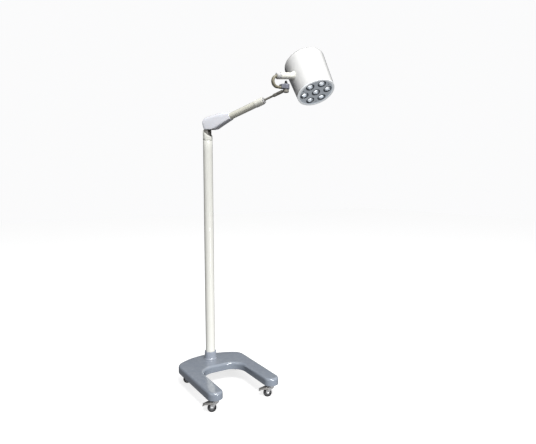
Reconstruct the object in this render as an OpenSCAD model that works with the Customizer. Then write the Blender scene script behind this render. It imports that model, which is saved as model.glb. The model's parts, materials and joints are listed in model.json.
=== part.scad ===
// Mobile surgical light: U-shaped base on four swivel casters, a round column,
// a spring-balanced arm and a bell-shaped lamp head with seven light cups.
// Millimetres. Z up, floor at z = 0, legs towards -Y. Everything is drawn round the
// column's axis, then place() puts the origin on the floor at the centre of the box
// around the whole light at rest.

/* [Base] */
// Height of the base's top surface above the floor
base_top = 120; // [112:1:135]
// Depth of the base shell, top surface to lower edge
base_thick = 45; // [42:1:52]
// Half of the base's overall width
base_half = 230; // [215:1:240]
// Half of the gap between the two legs
leg_gap = 139; // [120:1:145]
// How far the leg tips reach in front of the column axis
leg_reach = 500; // [480:1:540]
// Wall of the base shell
shell_wall = 3; // [2:0.5:4]

/* [Casters] */
// Wheel diameter over the tyre
wheel_d = 50; // [46:1:56]
// Width of the tyre
tyre_w = 18; // [16:1:20]
// Distance from a caster's swivel axis to its axle
trail = 24; // [20:1:28]
// Sideways place of the front casters
front_x = 182; // [170:1:190]
// Forward place of the front casters
front_y = 468; // [450:1:475]
// Sideways place of the rear casters
rear_x = 194; // [180:1:196]
// Swivel angle of the front left caster
swivel_fl = 150; // [0:1:359]
// Swivel angle of the front right caster
swivel_fr = 147; // [0:1:359]
// Swivel angle of the rear left caster
swivel_rl = -30; // [-180:1:180]
// Swivel angle of the rear right caster
swivel_rr = 100; // [-180:1:180]

/* [Column] */
// Outer diameter of the column tube
column_d = 60; // [50:1:64]
// Wall of the column tube
column_wall = 3; // [2:0.5:5]
// Height of the tube's upper end
column_top = 1540; // [1300:5:1600]
// Height of the collar that holds the tube, above the base
socket_h = 52; // [40:1:70]

/* [Arm] */
// Direction of the arm, turned from straight ahead
arm_turn = 30; // [-90:1:90]
// Upward slope of the arm
arm_rise = 18.5; // [-20:0.5:35]
// Height of the elbow pin above the top of the column tube
elbow_up = 82; // [80:1:90]
// Outer diameter of the arm tube
arm_d = 40; // [34:1:44]
// Distance from the elbow pin to the end of the arm tube
arm_len = 394; // [320:1:480]
// Diameter of the front rod
rod_d = 12; // [10:1:16]
// Distance from the elbow pin to the lamp's swivel axis
rod_reach = 583; // [540:1:680]

/* [Lamp] */
// Distance from the swivel axis to the lamp's centre line
lamp_off = 165; // [160:1:190]
// Height of the lamp's tilt axis above the end of the rod
lamp_up = 95; // [90:1:110]
// Slope of the tilt axis
boss_rise = 6; // [0:1:10]
// Downward aim of the lamp below the horizontal
lamp_aim = 58; // [20:1:90]
// Radius of the lamp at its face
face_r = 112; // [105:1:120]
// Largest radius of the lamp, below its dome
body_r = 123; // [115:1:130]
// Distance from the tilt axis to the face
face_z = 129; // [120:1:140]
// Distance from the tilt axis to the start of the dome
dome_z = 94; // [80:1:110]
// Height of the dome
dome_h = 47; // [30:1:70]
// Radius of the circle of outer light cups
cup_ring = 70; // [66:1:72]
// Turn of the outer light cups about the lamp's axis
cup_turn = 28; // [0:1:59]
// Radius of one light cup at its lip
cup_r = 25; // [20:0.5:26]

/* [Hidden] */
$fn = 48;
overlap = 0.01; // where two parts of one piece meet
// gaps between a hole and what sits in it
press_gap = 0.01;
fixed_gap = 0.02;
bush_gap = 0.05;
turning_gap = 0.06;

// base outline
base_bottom = base_top - base_thick;
tip_r = (base_half - leg_gap) / 2;
tip_x = (base_half + leg_gap) / 2;
tip_y = -(leg_reach - tip_r);
rear_arc_r = 366;
rear_arc_y = -275;
corner_r = 84;
corner_x = base_half - corner_r;
corner_y = rear_arc_y + sqrt(pow(rear_arc_r - corner_r, 2) - pow(corner_x, 2));
corner_angle = atan2(corner_y - rear_arc_y, corner_x);
slot_rear_y = -131; // closed end of the gap between the legs
slot_r = 95;

// base frame and fixings
frame_bottom = base_bottom + 4;
frame_top = base_top - 17;
frame_h = frame_top - frame_bottom;
frame_wall = 3;
cross_tube = [370, 72]; // length, depth
cross_hollow = [110, 66];
cross_hollow_x = 117;
leg_tube_x = 182;
leg_tube_w = 44;
plate_h = 2;
plate_screw_r = 2;
plate_screw_places = [[182, -390], [182, -200], [140, 20]]; // x, y on the right side
ballast_h = 38;
ballast_blocks = [ // corner, size
    [[-150, 38], [300, 60]],
    [[-156, -140], [312, 102]]];
flange_r = 55; // flange under the column socket
flange_h = 6;
flange_top = frame_top + flange_h;
bolt_r = 4;
bolt_ring = 42;

// casters; heights are above the axle
rear_y = 8;
wheel_r = wheel_d / 2;
hub_r = wheel_r - 8;
hub_core_r = 9;
axle_r = 4;
axle_head_r = 6.5;
kingpin_r = 6;
stem_r = 5;
stem_flange_h = 3;
fork_z = 32; // underside of the fork's top plate
fork_eye_r = 8.5;
tyre_round = 4;
pivot_x = 20;
pivot_z = 26;
pivot_r = 2.5;
brake_reach = trail + 52;
brake_half = 19;

// column and turret
column_r = column_d / 2;
column_bore = column_r - column_wall;
tube_foot = base_top + 3;
spindle_r = 19;
turret_plug_r = 26;
elbow_z = column_top + elbow_up;
elbow_pin_r = 6;

// arm; x is measured from the elbow pin
arm_r = arm_d / 2;
arm_bore = arm_r - 2.5;
rod_r = rod_d / 2;
cover_half_w = 28;
cover_wall = 2.5;
cover_screw_places = [[96, 30], [150, 24]]; // x, z
spring_z = 31;
spring_rod_r = 3;

// lamp
rod_end_z = elbow_z + rod_reach * sin(arm_rise);
rod_end_out = rod_reach * cos(arm_rise);
swivel_x = rod_end_out * sin(arm_turn);
swivel_y = -rod_end_out * cos(arm_turn);
lamp_x = swivel_x + lamp_off;
lamp_y = swivel_y;
lamp_z = rod_end_z + lamp_up;
swivel_pin_r = 7;
barrel_z = 2.6;
barrel_block = 38; // reach of the barrel's block towards the bracket
bracket_w = 22;
bracket_thick = 14;
bracket_z = 9.6; // middle of the lower arm, above the rod's end
bend_x = -58; // from the swivel axis
bend_r = (lamp_up - (lamp_off - bend_x) * tan(boss_rise) - bracket_z) / 2;
shaft_r = 8;
boss_r = 19;
bezel_edge = 1.5;
bezel_bore = 100;
board_z = 35; // above the face
board_r = 98;
board_h = 2;
panel_screw_r = 2;
panel_screw_ring = 86;
button_r = 7.9;
button_half = 11; // from the button's middle to the centre of each round end
button_w = 17.8;

// box around the light at rest
box_left = -front_x + brake_reach * cos(swivel_fl) - brake_half * sin(swivel_fl);
box_right = lamp_x + body_r;
box_front = lamp_y - face_r * sin(lamp_aim) - (face_z - bezel_edge) * cos(lamp_aim);
box_back = rear_arc_y + rear_arc_r;

// ---- shapes ----
module up(z) { translate([0, 0, z]) children(); }
// upright cylinder standing at height z
module post(radius, z, height) { up(z) cylinder(r = radius, h = height); }
// cylinder along +X
module x_rod(radius, from, to) {
    translate([from, 0, 0]) rotate([0, 90, 0]) cylinder(r = radius, h = to - from);
}
// cylinder along +Y
module y_rod(radius, from, to) {
    translate([0, from, 0]) rotate([-90, 0, 0]) cylinder(r = radius, h = to - from);
}
// the same on both sides of y = 0
module y_rod_pair(radius, from, to) {
    y_rod(radius, from, to);
    y_rod(radius, -to, -from);
}
// flat profile drawn in x-z, given a thickness along Y
module y_prism(from, to) {
    translate([0, to, 0]) rotate([90, 0, 0]) linear_extrude(height = to - from) children();
}
// two such plates, their middles at y = -middle and y = middle
module cheeks(middle, thick) {
    for (side = [-1, 1])
        y_prism(side * middle - thick / 2, side * middle + thick / 2) children();
}

// ---- places ----
module place() {
    translate([-(box_left + box_right) / 2, -(box_front + box_back) / 2, 0]) children();
}
// origin on the swivel axis at axle height, +X towards the axle
module at_caster(x, y, swivel) { translate([x, y, wheel_r]) rotate([0, 0, swivel]) children(); }
module at_fl() { at_caster(-front_x, -front_y, swivel_fl) children(); }
module at_fr() { at_caster(front_x, -front_y, swivel_fr) children(); }
module at_rl() { at_caster(-rear_x, -rear_y, swivel_rl) children(); }
module at_rr() { at_caster(rear_x, -rear_y, swivel_rr) children(); }
module at_stems() {
    for (side = [-1, 1]) {
        translate([side * front_x, -front_y, 0]) children();
        translate([side * rear_x, -rear_y, 0]) children();
    }
}
module at_plate_screws() {
    for (side = [-1, 1], spot = plate_screw_places)
        translate([side * spot.x, spot.y, 0]) children();
}
module at_socket_bolts() {
    for (angle = [45:90:315]) rotate([0, 0, angle]) translate([bolt_ring, 0, 0]) children();
}
// +X along the arm's direction over the floor
module at_turn() { rotate([0, 0, arm_turn - 90]) children(); }
// +X along the sloping arm
module at_slope() { at_turn() rotate([0, -arm_rise, 0]) children(); }
// the same, origin on the elbow pin
module at_arm() { up(elbow_z) at_slope() children(); }
module at_cover_screws() {
    for (spot = cover_screw_places) translate([spot[0], 0, spot[1]]) children();
}
// origin on the swivel axis at the rod's end
module at_swivel() { translate([swivel_x, swivel_y, rod_end_z]) children(); }
// +Z from the lamp's face to its dome, origin on the tilt axis
module at_lamp() {
    translate([lamp_x, lamp_y, lamp_z]) rotate([lamp_aim - 90, 0, 0]) children();
}
// the same, origin on the face
module at_face() { at_lamp() up(-face_z) children(); }
module at_cups() {
    children();
    for (angle = [0:60:300])
        rotate([0, 0, angle + cup_turn]) translate([cup_ring, 0, 0]) children();
}
module at_panel_screws() {
    for (angle = [30:120:270])
        rotate([0, 0, angle + cup_turn]) translate([panel_screw_ring, 0, 0]) children();
}
// on the side wall of the lamp, +Z outward, +Y along the button's length
module at_button() {
    at_lamp() rotate([0, 0, 153]) up(78) rotate([0, 90, 0]) up(body_r - 3.2)
        rotate([0, -2.8, 0]) rotate([0, 0, 90]) children();
}

// ---- base ----
// points of an arc; skip = 1 leaves out both end points
function arc(x, y, radius, start, end, steps, skip = 0) = [
    for (step = [skip:steps - skip])
        let (angle = start + (end - start) * step / steps)
        [x + radius * cos(angle), y + radius * sin(angle)]];

// U-shaped outline, drawn inset inside the outer edge
module base_outline(inset = 0) {
    slot_x = leg_gap - slot_r;
    slot_y = slot_rear_y - slot_r;
    corner_in = corner_r - inset;
    polygon(concat(
        arc(corner_x, corner_y, corner_in, 0, corner_angle, 8),
        arc(0, rear_arc_y, rear_arc_r - inset, corner_angle, 180 - corner_angle, 12, 1),
        arc(-corner_x, corner_y, corner_in, 180 - corner_angle, 180, 8),
        arc(-tip_x, tip_y, tip_r - inset, 180, 360, 16),
        arc(-slot_x, slot_y, slot_r + inset, 180, 90, 8),
        arc(slot_x, slot_y, slot_r + inset, 90, 0, 8),
        arc(tip_x, tip_y, tip_r - inset, 180, 360, 16)));
}

module base_shell() { color("slategray") difference() {
    up(base_bottom) linear_extrude(height = base_thick) base_outline();
    up(base_bottom - 1) linear_extrude(height = base_thick - shell_wall + 1)
        base_outline(shell_wall);
    post(column_r + 8, base_bottom, base_thick + 10);
} }

// welded steel frame: cross tube, two leg tubes and four caster bosses
module base_frame() { color("dimgray") difference() {
    union() {
        translate([-cross_tube.x / 2, -cross_tube.y / 2, frame_bottom])
            cube([cross_tube.x, cross_tube.y, frame_h]);
        for (side = [-1, 1])
            translate([side * leg_tube_x - leg_tube_w / 2, -front_y - 8, frame_bottom])
                cube([leg_tube_w, front_y + 8 - 30, frame_h]);
        at_stems() post(15, base_bottom + plate_h, frame_top - base_bottom - plate_h);
    }
    // hollow of the cross tube, left solid under the column
    for (side = [-1, 1])
        translate([side * cross_hollow_x - cross_hollow.x / 2, -cross_hollow.y / 2,
            frame_bottom + frame_wall])
            cube([cross_hollow.x, cross_hollow.y, frame_h - 2 * frame_wall]);
    // hollows of the leg tubes
    for (side = [-1, 1])
        translate([side * leg_tube_x - leg_tube_w / 2 + frame_wall, -front_y + 30,
            frame_bottom + frame_wall])
            cube([leg_tube_w - 2 * frame_wall, front_y - 90, frame_h - 2 * frame_wall]);
    at_stems() post(stem_r + fixed_gap, base_bottom, frame_top - base_bottom + 1);
    at_socket_bolts() post(bolt_r + fixed_gap, frame_bottom + 4, 60);
    at_plate_screws() post(plate_screw_r + fixed_gap, frame_bottom - 2, 12);
} }

// plate closing the underside of the shell
module base_plate() { color("silver") difference() {
    up(base_bottom) linear_extrude(height = plate_h) base_outline(shell_wall + 0.2);
    at_stems() post(stem_r + 0.1, base_bottom - 1, plate_h + 2);
    at_plate_screws() post(plate_screw_r + 0.2, base_bottom - 1, plate_h + 2);
} }

module plate_screws() { color("gray") at_plate_screws() {
    post(4, base_bottom - 2, 2);
    post(plate_screw_r, base_bottom - overlap, 12);
} }

// cast-iron weights behind and in front of the cross tube
module ballast() { color("darkslategray") for (block = ballast_blocks) difference() {
    up(base_bottom + 3) linear_extrude(height = ballast_h) intersection() {
        base_outline(8);
        translate(block[0]) square(block[1]);
    }
    post(flange_r + 3, frame_top - 1, flange_h + 2);
} }

// ---- column ----
module column_socket() { color("slategray") difference() {
    union() {
        post(flange_r, frame_top, flange_h, $fn = 64);
        post(column_r + 7.5, frame_top, base_top + socket_h - frame_top, $fn = 64);
        up(base_top + 0.2) cylinder(r1 = column_r + 13, r2 = column_r + 7.5, h = 7, $fn = 64);
    }
    post(column_r + fixed_gap, tube_foot, socket_h + 10, $fn = 64);
    post(10, frame_top - 1, 40);
    at_socket_bolts() {
        post(bolt_r + 0.2, frame_top - 1, flange_h + 2);
        post(6.6, flange_top, 5.9);
    }
} }

// bolts with a hexagonal hole in the head
module socket_bolts() { color("silver") at_socket_bolts() difference() {
    union() {
        post(6.2, flange_top, 5);
        post(bolt_r, frame_bottom + flange_h, frame_h + overlap);
    }
    post(3.2, flange_top + 2.5, 6, $fn = 6);
} }

module column_tube() { color("ivory") difference() {
    post(column_r, tube_foot, column_top - tube_foot, $fn = 64);
    post(column_bore, base_top, column_top, $fn = 64);
} }

// two nylon bushes that the turret's spindle turns in; the upper one has the flange
// the turret rests on
module column_bushes() { color("black") {
    difference() {
        union() {
            post(column_bore, column_top - 40, 40);
            post(column_r - 1, column_top, 1.5);
        }
        post(spindle_r + bush_gap, column_top - 50, 60);
    }
    difference() {
        post(column_bore, column_top - 110, 20);
        post(spindle_r + bush_gap, column_top - 120, 40);
    }
} }

// ---- casters: drawn in the at_caster() frame, except the stems ----
// flange, stem in the frame's boss, kingpin and its lower head
module caster_stems() {
    flange_bottom = base_bottom - stem_flange_h;
    kingpin_bottom = wheel_r + fork_z - 1;
    color("silver") at_stems() {
        post(11, flange_bottom, stem_flange_h);
        post(stem_r, base_bottom - overlap, 26);
        post(kingpin_r, kingpin_bottom, flange_bottom - kingpin_bottom + overlap);
        post(8, kingpin_bottom - 0.4, 1.2);
    }
}

module fork() { difference() {
    union() {
        post(15, fork_z, base_bottom - stem_flange_h - 0.3 - wheel_r - fork_z);
        translate([-13, -15.5, fork_z]) cube([28, 31, 4]);
        cheeks(14, 3) union() {
            polygon([[-13, fork_z + 4], [15, fork_z + 4], [28, 26],
                [trail + fork_eye_r, 0], [trail - fork_eye_r, 0], [4, 18]]);
            translate([trail, 0]) circle(r = fork_eye_r);
        }
    }
    post(kingpin_r + turning_gap, 20, 40);
    post(9, 20, fork_z - 20);
    translate([trail, 0, 0]) y_rod(axle_r + press_gap, -20, 20);
    translate([pivot_x, 0, pivot_z]) y_rod(pivot_r + turning_gap, -20, 20);
} }

// axle with a round head and a hexagonal nut
module axle() { translate([trail, 0, 0]) {
    y_rod(axle_r, -18.5, 15.6);
    y_rod(axle_head_r, 15.5, 19.5);
    y_rod(axle_head_r, -19.5, -15.5, $fn = 6);
} }

module wheel_hub() { translate([trail, 0, 0]) difference() {
    union() {
        y_rod(hub_r, -tyre_w / 2 + 2, tyre_w / 2 - 2);
        y_rod(hub_core_r, -12, 12);
    }
    y_rod(axle_r + turning_gap, -20, 20);
    // ring-shaped recess in each face
    for (side = [-1, 1]) translate([0, side * 13, 0]) rotate([90 * side, 0, 0]) difference() {
        cylinder(r = hub_r - 3, h = 8);
        post(hub_core_r + 0.5, -1, 10);
    }
} }

module tyre() { translate([trail, 0, 0]) rotate([-90, 0, 0]) rotate_extrude($fn = 96) difference() {
    union() {
        translate([hub_r, -tyre_w / 2 + 2]) square([wheel_r - hub_r, tyre_w - 4]);
        translate([hub_r, -tyre_w / 2]) square([wheel_r - hub_r - tyre_round, tyre_w]);
        for (side = [-1, 1]) translate([wheel_r - tyre_round, side * (tyre_w / 2 - tyre_round)])
            circle(r = tyre_round, $fn = 32);
    }
    translate([-1, -50]) square([hub_r + 1, 100]);
} }

// foot lever: tread plate over the wheel, side cheeks with moulded pivots, shoe above the tyre
module brake() { difference() {
    union() {
        y_prism(-brake_half, brake_half)
            polygon([[26, 35.4], [brake_reach, 13], [brake_reach, 16.2], [26, 38.8]]);
        cheeks(brake_half - 1.5, 3) union() {
            translate([pivot_x, pivot_z]) circle(r = 5);
            polygon([[pivot_x - 4.6, pivot_z + 2], [pivot_x + 1, pivot_z - 4.9], [44, 22],
                [52, 26], [26, 38], [22, 34]]);
        }
        translate([pivot_x, 0, pivot_z]) y_rod_pair(pivot_r, 12.7, 17);
        y_prism(-8, 8) polygon([[27, 25], [42, 20], [46, 28], [27, 36.5]]);
    }
    translate([trail, 0, 0]) y_rod(wheel_r + 0.7, -11, 11);
} }

module fl_fork() { color("silver") at_fl() fork(); }
module fl_axle() { color("gray") at_fl() axle(); }
module fl_wheel() { color("lightgray") at_fl() wheel_hub(); }
module fl_tyre() { color("black") at_fl() tyre(); }
module fl_brake() { color("dimgray") at_fl() brake(); }
module fr_fork() { color("silver") at_fr() fork(); }
module fr_axle() { color("gray") at_fr() axle(); }
module fr_wheel() { color("lightgray") at_fr() wheel_hub(); }
module fr_tyre() { color("black") at_fr() tyre(); }
module fr_brake() { color("dimgray") at_fr() brake(); }
module rl_fork() { color("silver") at_rl() fork(); }
module rl_axle() { color("gray") at_rl() axle(); }
module rl_wheel() { color("lightgray") at_rl() wheel_hub(); }
module rl_tyre() { color("black") at_rl() tyre(); }
module rr_fork() { color("silver") at_rr() fork(); }
module rr_axle() { color("gray") at_rr() axle(); }
module rr_wheel() { color("lightgray") at_rr() wheel_hub(); }
module rr_tyre() { color("black") at_rr() tyre(); }

// ---- turret and elbow ----
// tube with a mouth that slopes down towards the arm
module turret_sleeve() { color("ivory") at_turn() difference() {
    post(column_r, column_top + 1.7, 70, $fn = 64);
    post(turret_plug_r + bush_gap, column_top, 80, $fn = 64);
    translate([-24, 0, column_top + 63]) rotate([0, 36.87, 0])
        translate([-100, -100, 0]) cube([250, 200, 100]);
} }

// spindle, plug inside the sleeve and two cheeks round the elbow pin
module elbow_clevis() { color("dimgray") at_turn() difference() {
    union() {
        post(spindle_r, column_top - 112, 120);
        post(turret_plug_r, column_top + 1.6, 20, $fn = 64);
        cheeks(17.5, 7) union() {
            translate([-15, column_top + 10]) square([30, elbow_up - 10]);
            translate([0, elbow_z]) circle(r = 15);
        }
    }
    up(elbow_z) y_rod(elbow_pin_r + press_gap, -30, 30);
} }

module elbow_pin() { color("silver") at_turn() up(elbow_z) {
    y_rod(elbow_pin_r, -21.5, 21.5);
    y_rod_pair(8.5, 21.2, 24);
} }

// ---- arm ----
// knuckle on the elbow pin, block, plug in the arm tube and lug for the spring rod
module arm_root() { color("dimgray") at_arm() difference() {
    union() {
        y_rod(17, -13.7, 13.7);
        translate([0, -13.7, -14]) cube([64, 27.4, 28]);
        x_rod(arm_bore - 0.05, 60, 110);
        translate([50, -9, 10]) cube([8, 18, 32]);
    }
    y_rod(elbow_pin_r + turning_gap, -20, 20);
    up(spring_z) x_rod(spring_rod_r + 0.3, 40, 80);
} }

module arm_tube() { color("beige") at_arm() difference() {
    x_rod(arm_r, 64.2, arm_len);
    x_rod(arm_bore, 60, arm_len + 5);
} }

// end cap over the tube, bored for the front rod
module arm_collar() { color("beige") at_arm() difference() {
    x_rod(arm_r + 2, arm_len - 22, arm_len + 32);
    x_rod(arm_r + fixed_gap, arm_len - 30, arm_len);
    x_rod(rod_r + turning_gap, arm_len - 5, arm_len + 40);
} }

module collar_ring() { color("black") at_arm() difference() {
    x_rod(arm_r - 1, arm_len + 32.3, arm_len + 39);
    x_rod(rod_r + turning_gap, arm_len + 20, arm_len + 50);
} }

// side view of the elbow cover, x and z from the elbow pin
module cover_profile(inset) {
    polygon([
        [-16 + inset, -13 + inset], [-18.8 + inset, 6], [-18 + inset, 36 - inset * 0.4],
        [-8 + inset, 53 - inset], [8, 61 - inset], [30, 60 - inset], [109, 48 - inset],
        [160, 36 - inset], [184 + inset, 27 - inset], [184 + inset, -19 + inset],
        [56, -36 + inset], [38, -36 + inset], [4, -22 + inset]]);
}

// half of the cover: the part inside an 80 mm deep box starting at y
module cover_half(y) {
    inner = cover_half_w - cover_wall;
    intersection() {
        difference() {
            y_prism(-cover_half_w, cover_half_w) cover_profile(0);
            y_prism(-inner, inner) cover_profile(cover_wall);
            // open underside around the clevis
            y_prism(-inner, inner) polygon([[-40, -60], [57, -60], [57, -30], [36, -24],
                [4, -6], [-15, 8], [-40, 8]]);
            x_rod(arm_r + 0.1, 150, 200);
            at_cover_screws() {
                y_rod_pair(3.5, cover_half_w - 1.5, cover_half_w + 1);
                y_rod(1.8, -30, 30);
            }
        }
        translate([-60, y, -80]) cube([300, 80, 180]);
    }
}
module cover_left() { color("lavender") at_arm() cover_half(0.05); }
module cover_right() { color("lavender") at_arm() cover_half(-80.05); }

module cover_screws() { color("silver") at_arm() at_cover_screws() {
    y_rod(1.6, -27, 27);
    y_rod_pair(3.3, 26.6, 28.2);
} }

// coil of four turns, a ring sector twisted along the rod
module balance_spring() { color("gray") at_arm() translate([59, 0, spring_z]) rotate([0, 90, 0])
    linear_extrude(height = 28, twist = -360 * 4, slices = 64, convexity = 8) difference() {
        intersection() {
            circle(r = 8.4, $fn = 20);
            polygon([[0, 0], [12, -9], [12, 9]]);
        }
        circle(r = 5.6, $fn = 20);
    }
}

// rod through the spring, with a disc at its far end and an eye above the elbow pin
module spring_rod() { color("silver") at_arm() up(spring_z) {
    x_rod(spring_rod_r, 30, 90);
    x_rod(6.5, 88, 91.9);
    difference() {
        y_rod(6.5, -3, 3);
        y_rod(3, -5, 5);
    }
    x_rod(spring_rod_r, 6, 31);
} }

// ---- front rod and swivel ----
// rod with a thicker sleeve near its end and a plug inside the arm tube
module arm_rod() { color("silver") at_arm() {
    x_rod(rod_r, arm_len - 60, rod_reach - 16);
    x_rod(9.5, rod_reach - 86, rod_reach - 24);
    x_rod(arm_bore - turning_gap, arm_len - 62, arm_len - 40);
} }

module rod_block() { color("dimgray") at_swivel() difference() {
    post(16, -17, 19.2);
    post(swivel_pin_r + press_gap, -10, 40);
    at_slope() x_rod(rod_r + press_gap, -60, -15.9);
} }

// vertical pin with the nut that holds the bracket down
module swivel_pin() { color("silver") at_swivel() {
    post(swivel_pin_r, -10, 50);
    post(8.5, 31.4, 20, $fn = 6);
} }

module swivel_barrel() { color("dimgray") at_swivel() difference() {
    union() {
        post(20, barrel_z, 28.4);
        translate([-barrel_block, -15, barrel_z]) cube([barrel_block, 30, 25]);
    }
    cylinder(r = swivel_pin_r + turning_gap, h = 54);
} }

// lower arm, half-round bend and the bearing of the tilt shaft
module head_bracket() { color("beige") difference() {
    union() {
        at_swivel() translate([bend_x, 0, 0]) {
            translate([0, -bracket_w / 2, bracket_z - bracket_thick / 2])
                cube([-bend_x - barrel_block - fixed_gap, bracket_w, bracket_thick]);
            up(bracket_z + bend_r) rotate([90, 0, 0]) rotate([0, 0, 90])
                rotate_extrude(angle = 180, $fn = 96)
                    translate([bend_r - bracket_thick / 2, -bracket_w / 2])
                        square([bracket_thick, bracket_w]);
        }
        tilt_rod(boss_r, -68, -41);
    }
    tilt_rod(shaft_r + turning_gap, -62, -20);
} }

// ---- lamp head ----
// cylinder along the sloping tilt axis, +X towards the lamp; zero is lamp_off short of
// the lamp's centre line
module tilt_rod(radius, from, to) {
    translate([lamp_x, lamp_y, lamp_z]) rotate([0, -boss_rise, 0])
        x_rod(radius, from - lamp_off, to - lamp_off);
}

module tilt_shaft() { color("silver") tilt_rod(shaft_r, -60, 66); }
module head_boss() { color("ivory") difference() {
    tilt_rod(boss_r, -40.6, 60);
    tilt_rod(shaft_r + press_gap, -50, 70);
} }

// elliptical quarter of the dome's profile, from the rim to the top
function dome(inset) = [
    for (step = [0:12])
        let (angle = 90 * step / 12)
        [(body_r - inset) * cos(angle), dome_z + (dome_h - inset) * sin(angle)]];

module head_shell() { color("white") difference() {
    at_lamp() rotate_extrude($fn = 96) difference() {
        polygon(concat([[0, -face_z + 7], [face_r + 0.4, -face_z + 7]],
            dome(0), [[0, dome_z + dome_h]]));
        polygon(concat([[-1, -face_z + 6], [face_r - 2.6, -face_z + 6]],
            dome(3), [[-1, dome_z + dome_h - 3]]));
    }
    tilt_rod(boss_r + fixed_gap, -40, 100);
    at_button() translate([-9, -19, -20]) cube([18, 38, 60]);
} }

// face ring with a lip inside the shell
module bezel() { color("white") at_face() rotate_extrude($fn = 96) polygon([
    [bezel_bore, 0], [face_r - bezel_edge, 0], [face_r, bezel_edge], [face_r + 0.3, 6.9],
    [face_r - 2.8, 6.9], [face_r - 2.8, 18], [face_r - 6, 18], [face_r - 6, 4.6],
    [bezel_bore, 3]]);
}

module front_panel() { color("lightsteelblue") at_face() difference() {
    post(face_r - 7, 5, 2.5, $fn = 96);
    at_cups() post(cup_r - 1.2, -6, 30);
    at_panel_screws() post(panel_screw_r + 0.1, -6, 30);
} }

// profile: radius, height above the face
module reflectors() { color("silver") at_face() at_cups() rotate_extrude() polygon([
    [cup_r, 3], [cup_r - 1.3, 3], [cup_r - 1.6, 7], [cup_r - 6, 18], [8, 31],
    [9.4, 31.4], [cup_r - 4.6, 19.3], [cup_r - 1.3, 9], [cup_r - 1.3, 4.9], [cup_r, 4.9]]);
}

// domed towards the face
module lenses() { color("white") at_face() at_cups() up(8) intersection() {
    cylinder(r = cup_r - 5.5, h = 10);
    up(30) sphere(r = 30, $fn = 64);
    cylinder(r = 40, h = 8);
} }

module led_board() { color("white") at_face() difference() {
    post(board_r, board_z, board_h, $fn = 96);
    at_panel_screws() post(panel_screw_r + 0.1, board_z - 1, 10);
} }

module leds() { color("yellow") at_face() at_cups()
    translate([-4, -4, board_z - 2]) cube([8, 8, 1.99]);
}

// plate with 13 parallel fins, cut away around the boss
module heat_sink() { color("lightgray") at_face() difference() {
    union() {
        post(board_r, board_z + board_h + 0.01, 6, $fn = 96);
        intersection() {
            post(90, board_z + 5, 34);
            for (fin = [-6:6])
                translate([-100, fin * 13 - 1.2, board_z + 5]) cube([200, 2.4, 40]);
        }
    }
    translate([-140, -24, face_z - 30]) cube([80, 48, 60]);
    at_panel_screws() post(panel_screw_r + fixed_gap, board_z - 1, 9);
} }

module head_screws() { color("gray") at_face() at_panel_screws() {
    post(4, 2.6, 2.4);
    post(panel_screw_r, 4.9, board_z + 1);
} }

// round-ended button on a flat base inside the shell
module power_button() { color("dimgray") at_button() {
    translate([-button_w / 2, -button_half, -6]) cube([button_w, 2 * button_half, 10]);
    for (side = [-1, 1])
        translate([0, side * button_half, -6]) cylinder(r = button_r, h = 10);
    translate([-button_w / 2, -18.4, -12]) cube([button_w, 36.8, 7]);
} }

place() base_shell();
place() base_frame();
place() base_plate();
place() ballast();
place() plate_screws();
place() column_socket();
place() socket_bolts();
place() caster_stems();
place() column_tube();
place() column_bushes();
place() fl_fork();
place() fl_axle();
place() fl_wheel();
place() fl_tyre();
place() fl_brake();
place() fr_fork();
place() fr_axle();
place() fr_wheel();
place() fr_tyre();
place() fr_brake();
place() rl_fork();
place() rl_axle();
place() rl_wheel();
place() rl_tyre();
place() rr_fork();
place() rr_axle();
place() rr_wheel();
place() rr_tyre();
place() turret_sleeve();
place() elbow_clevis();
place() elbow_pin();
place() arm_root();
place() arm_tube();
place() arm_collar();
place() collar_ring();
place() cover_left();
place() cover_right();
place() cover_screws();
place() balance_spring();
place() spring_rod();
place() arm_rod();
place() rod_block();
place() swivel_pin();
place() swivel_barrel();
place() head_bracket();
place() tilt_shaft();
place() head_boss();
place() head_shell();
place() bezel();
place() front_panel();
place() reflectors();
place() lenses();
place() led_board();
place() leds();
place() heat_sink();
place() head_screws();
place() power_button();
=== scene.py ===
# A mobile lamp: a U-shaped base on four casters, a column, a jointed arm and a
# round head with seven reflector cups. +Z is up, the floor is z = 0, the column stands
# at COLUMN and the two legs of the base run towards -Y.
# Shapes are drawn in millimetres in the local frame of their joint; a frame matrix
# (metres) then puts them in place.
import json
import math

import bmesh
import bpy
import numpy as np
from mathutils import Matrix, Vector


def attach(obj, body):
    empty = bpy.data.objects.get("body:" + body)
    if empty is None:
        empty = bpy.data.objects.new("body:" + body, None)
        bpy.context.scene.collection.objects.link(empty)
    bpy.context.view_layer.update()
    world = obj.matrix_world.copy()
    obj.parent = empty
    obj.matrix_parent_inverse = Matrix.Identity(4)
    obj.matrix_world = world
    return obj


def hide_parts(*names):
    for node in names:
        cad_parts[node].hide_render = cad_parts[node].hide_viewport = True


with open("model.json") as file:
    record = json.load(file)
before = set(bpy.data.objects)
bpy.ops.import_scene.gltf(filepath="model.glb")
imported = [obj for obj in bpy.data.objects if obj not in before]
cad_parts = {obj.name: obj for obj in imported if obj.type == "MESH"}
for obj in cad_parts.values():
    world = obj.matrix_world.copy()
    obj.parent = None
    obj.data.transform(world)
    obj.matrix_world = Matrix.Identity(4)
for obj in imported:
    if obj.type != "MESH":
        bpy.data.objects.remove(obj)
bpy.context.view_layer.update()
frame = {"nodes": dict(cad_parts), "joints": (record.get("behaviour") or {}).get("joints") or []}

JOINTS = {joint["name"]: joint for joint in frame["joints"]}
scene = bpy.context.scene
MM = 0.001
SIDES = (-1, 1)


# ---------------------------------------------------------------- frames
def axes_at(origin, x, y, z):
    """Matrix of the frame with this origin and these three axes."""
    matrix = Matrix((x, y, z)).transposed().to_4x4()
    matrix.translation = origin
    return matrix


def joint_pos(name):
    return Vector(JOINTS[name]["pos_m"])


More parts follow.
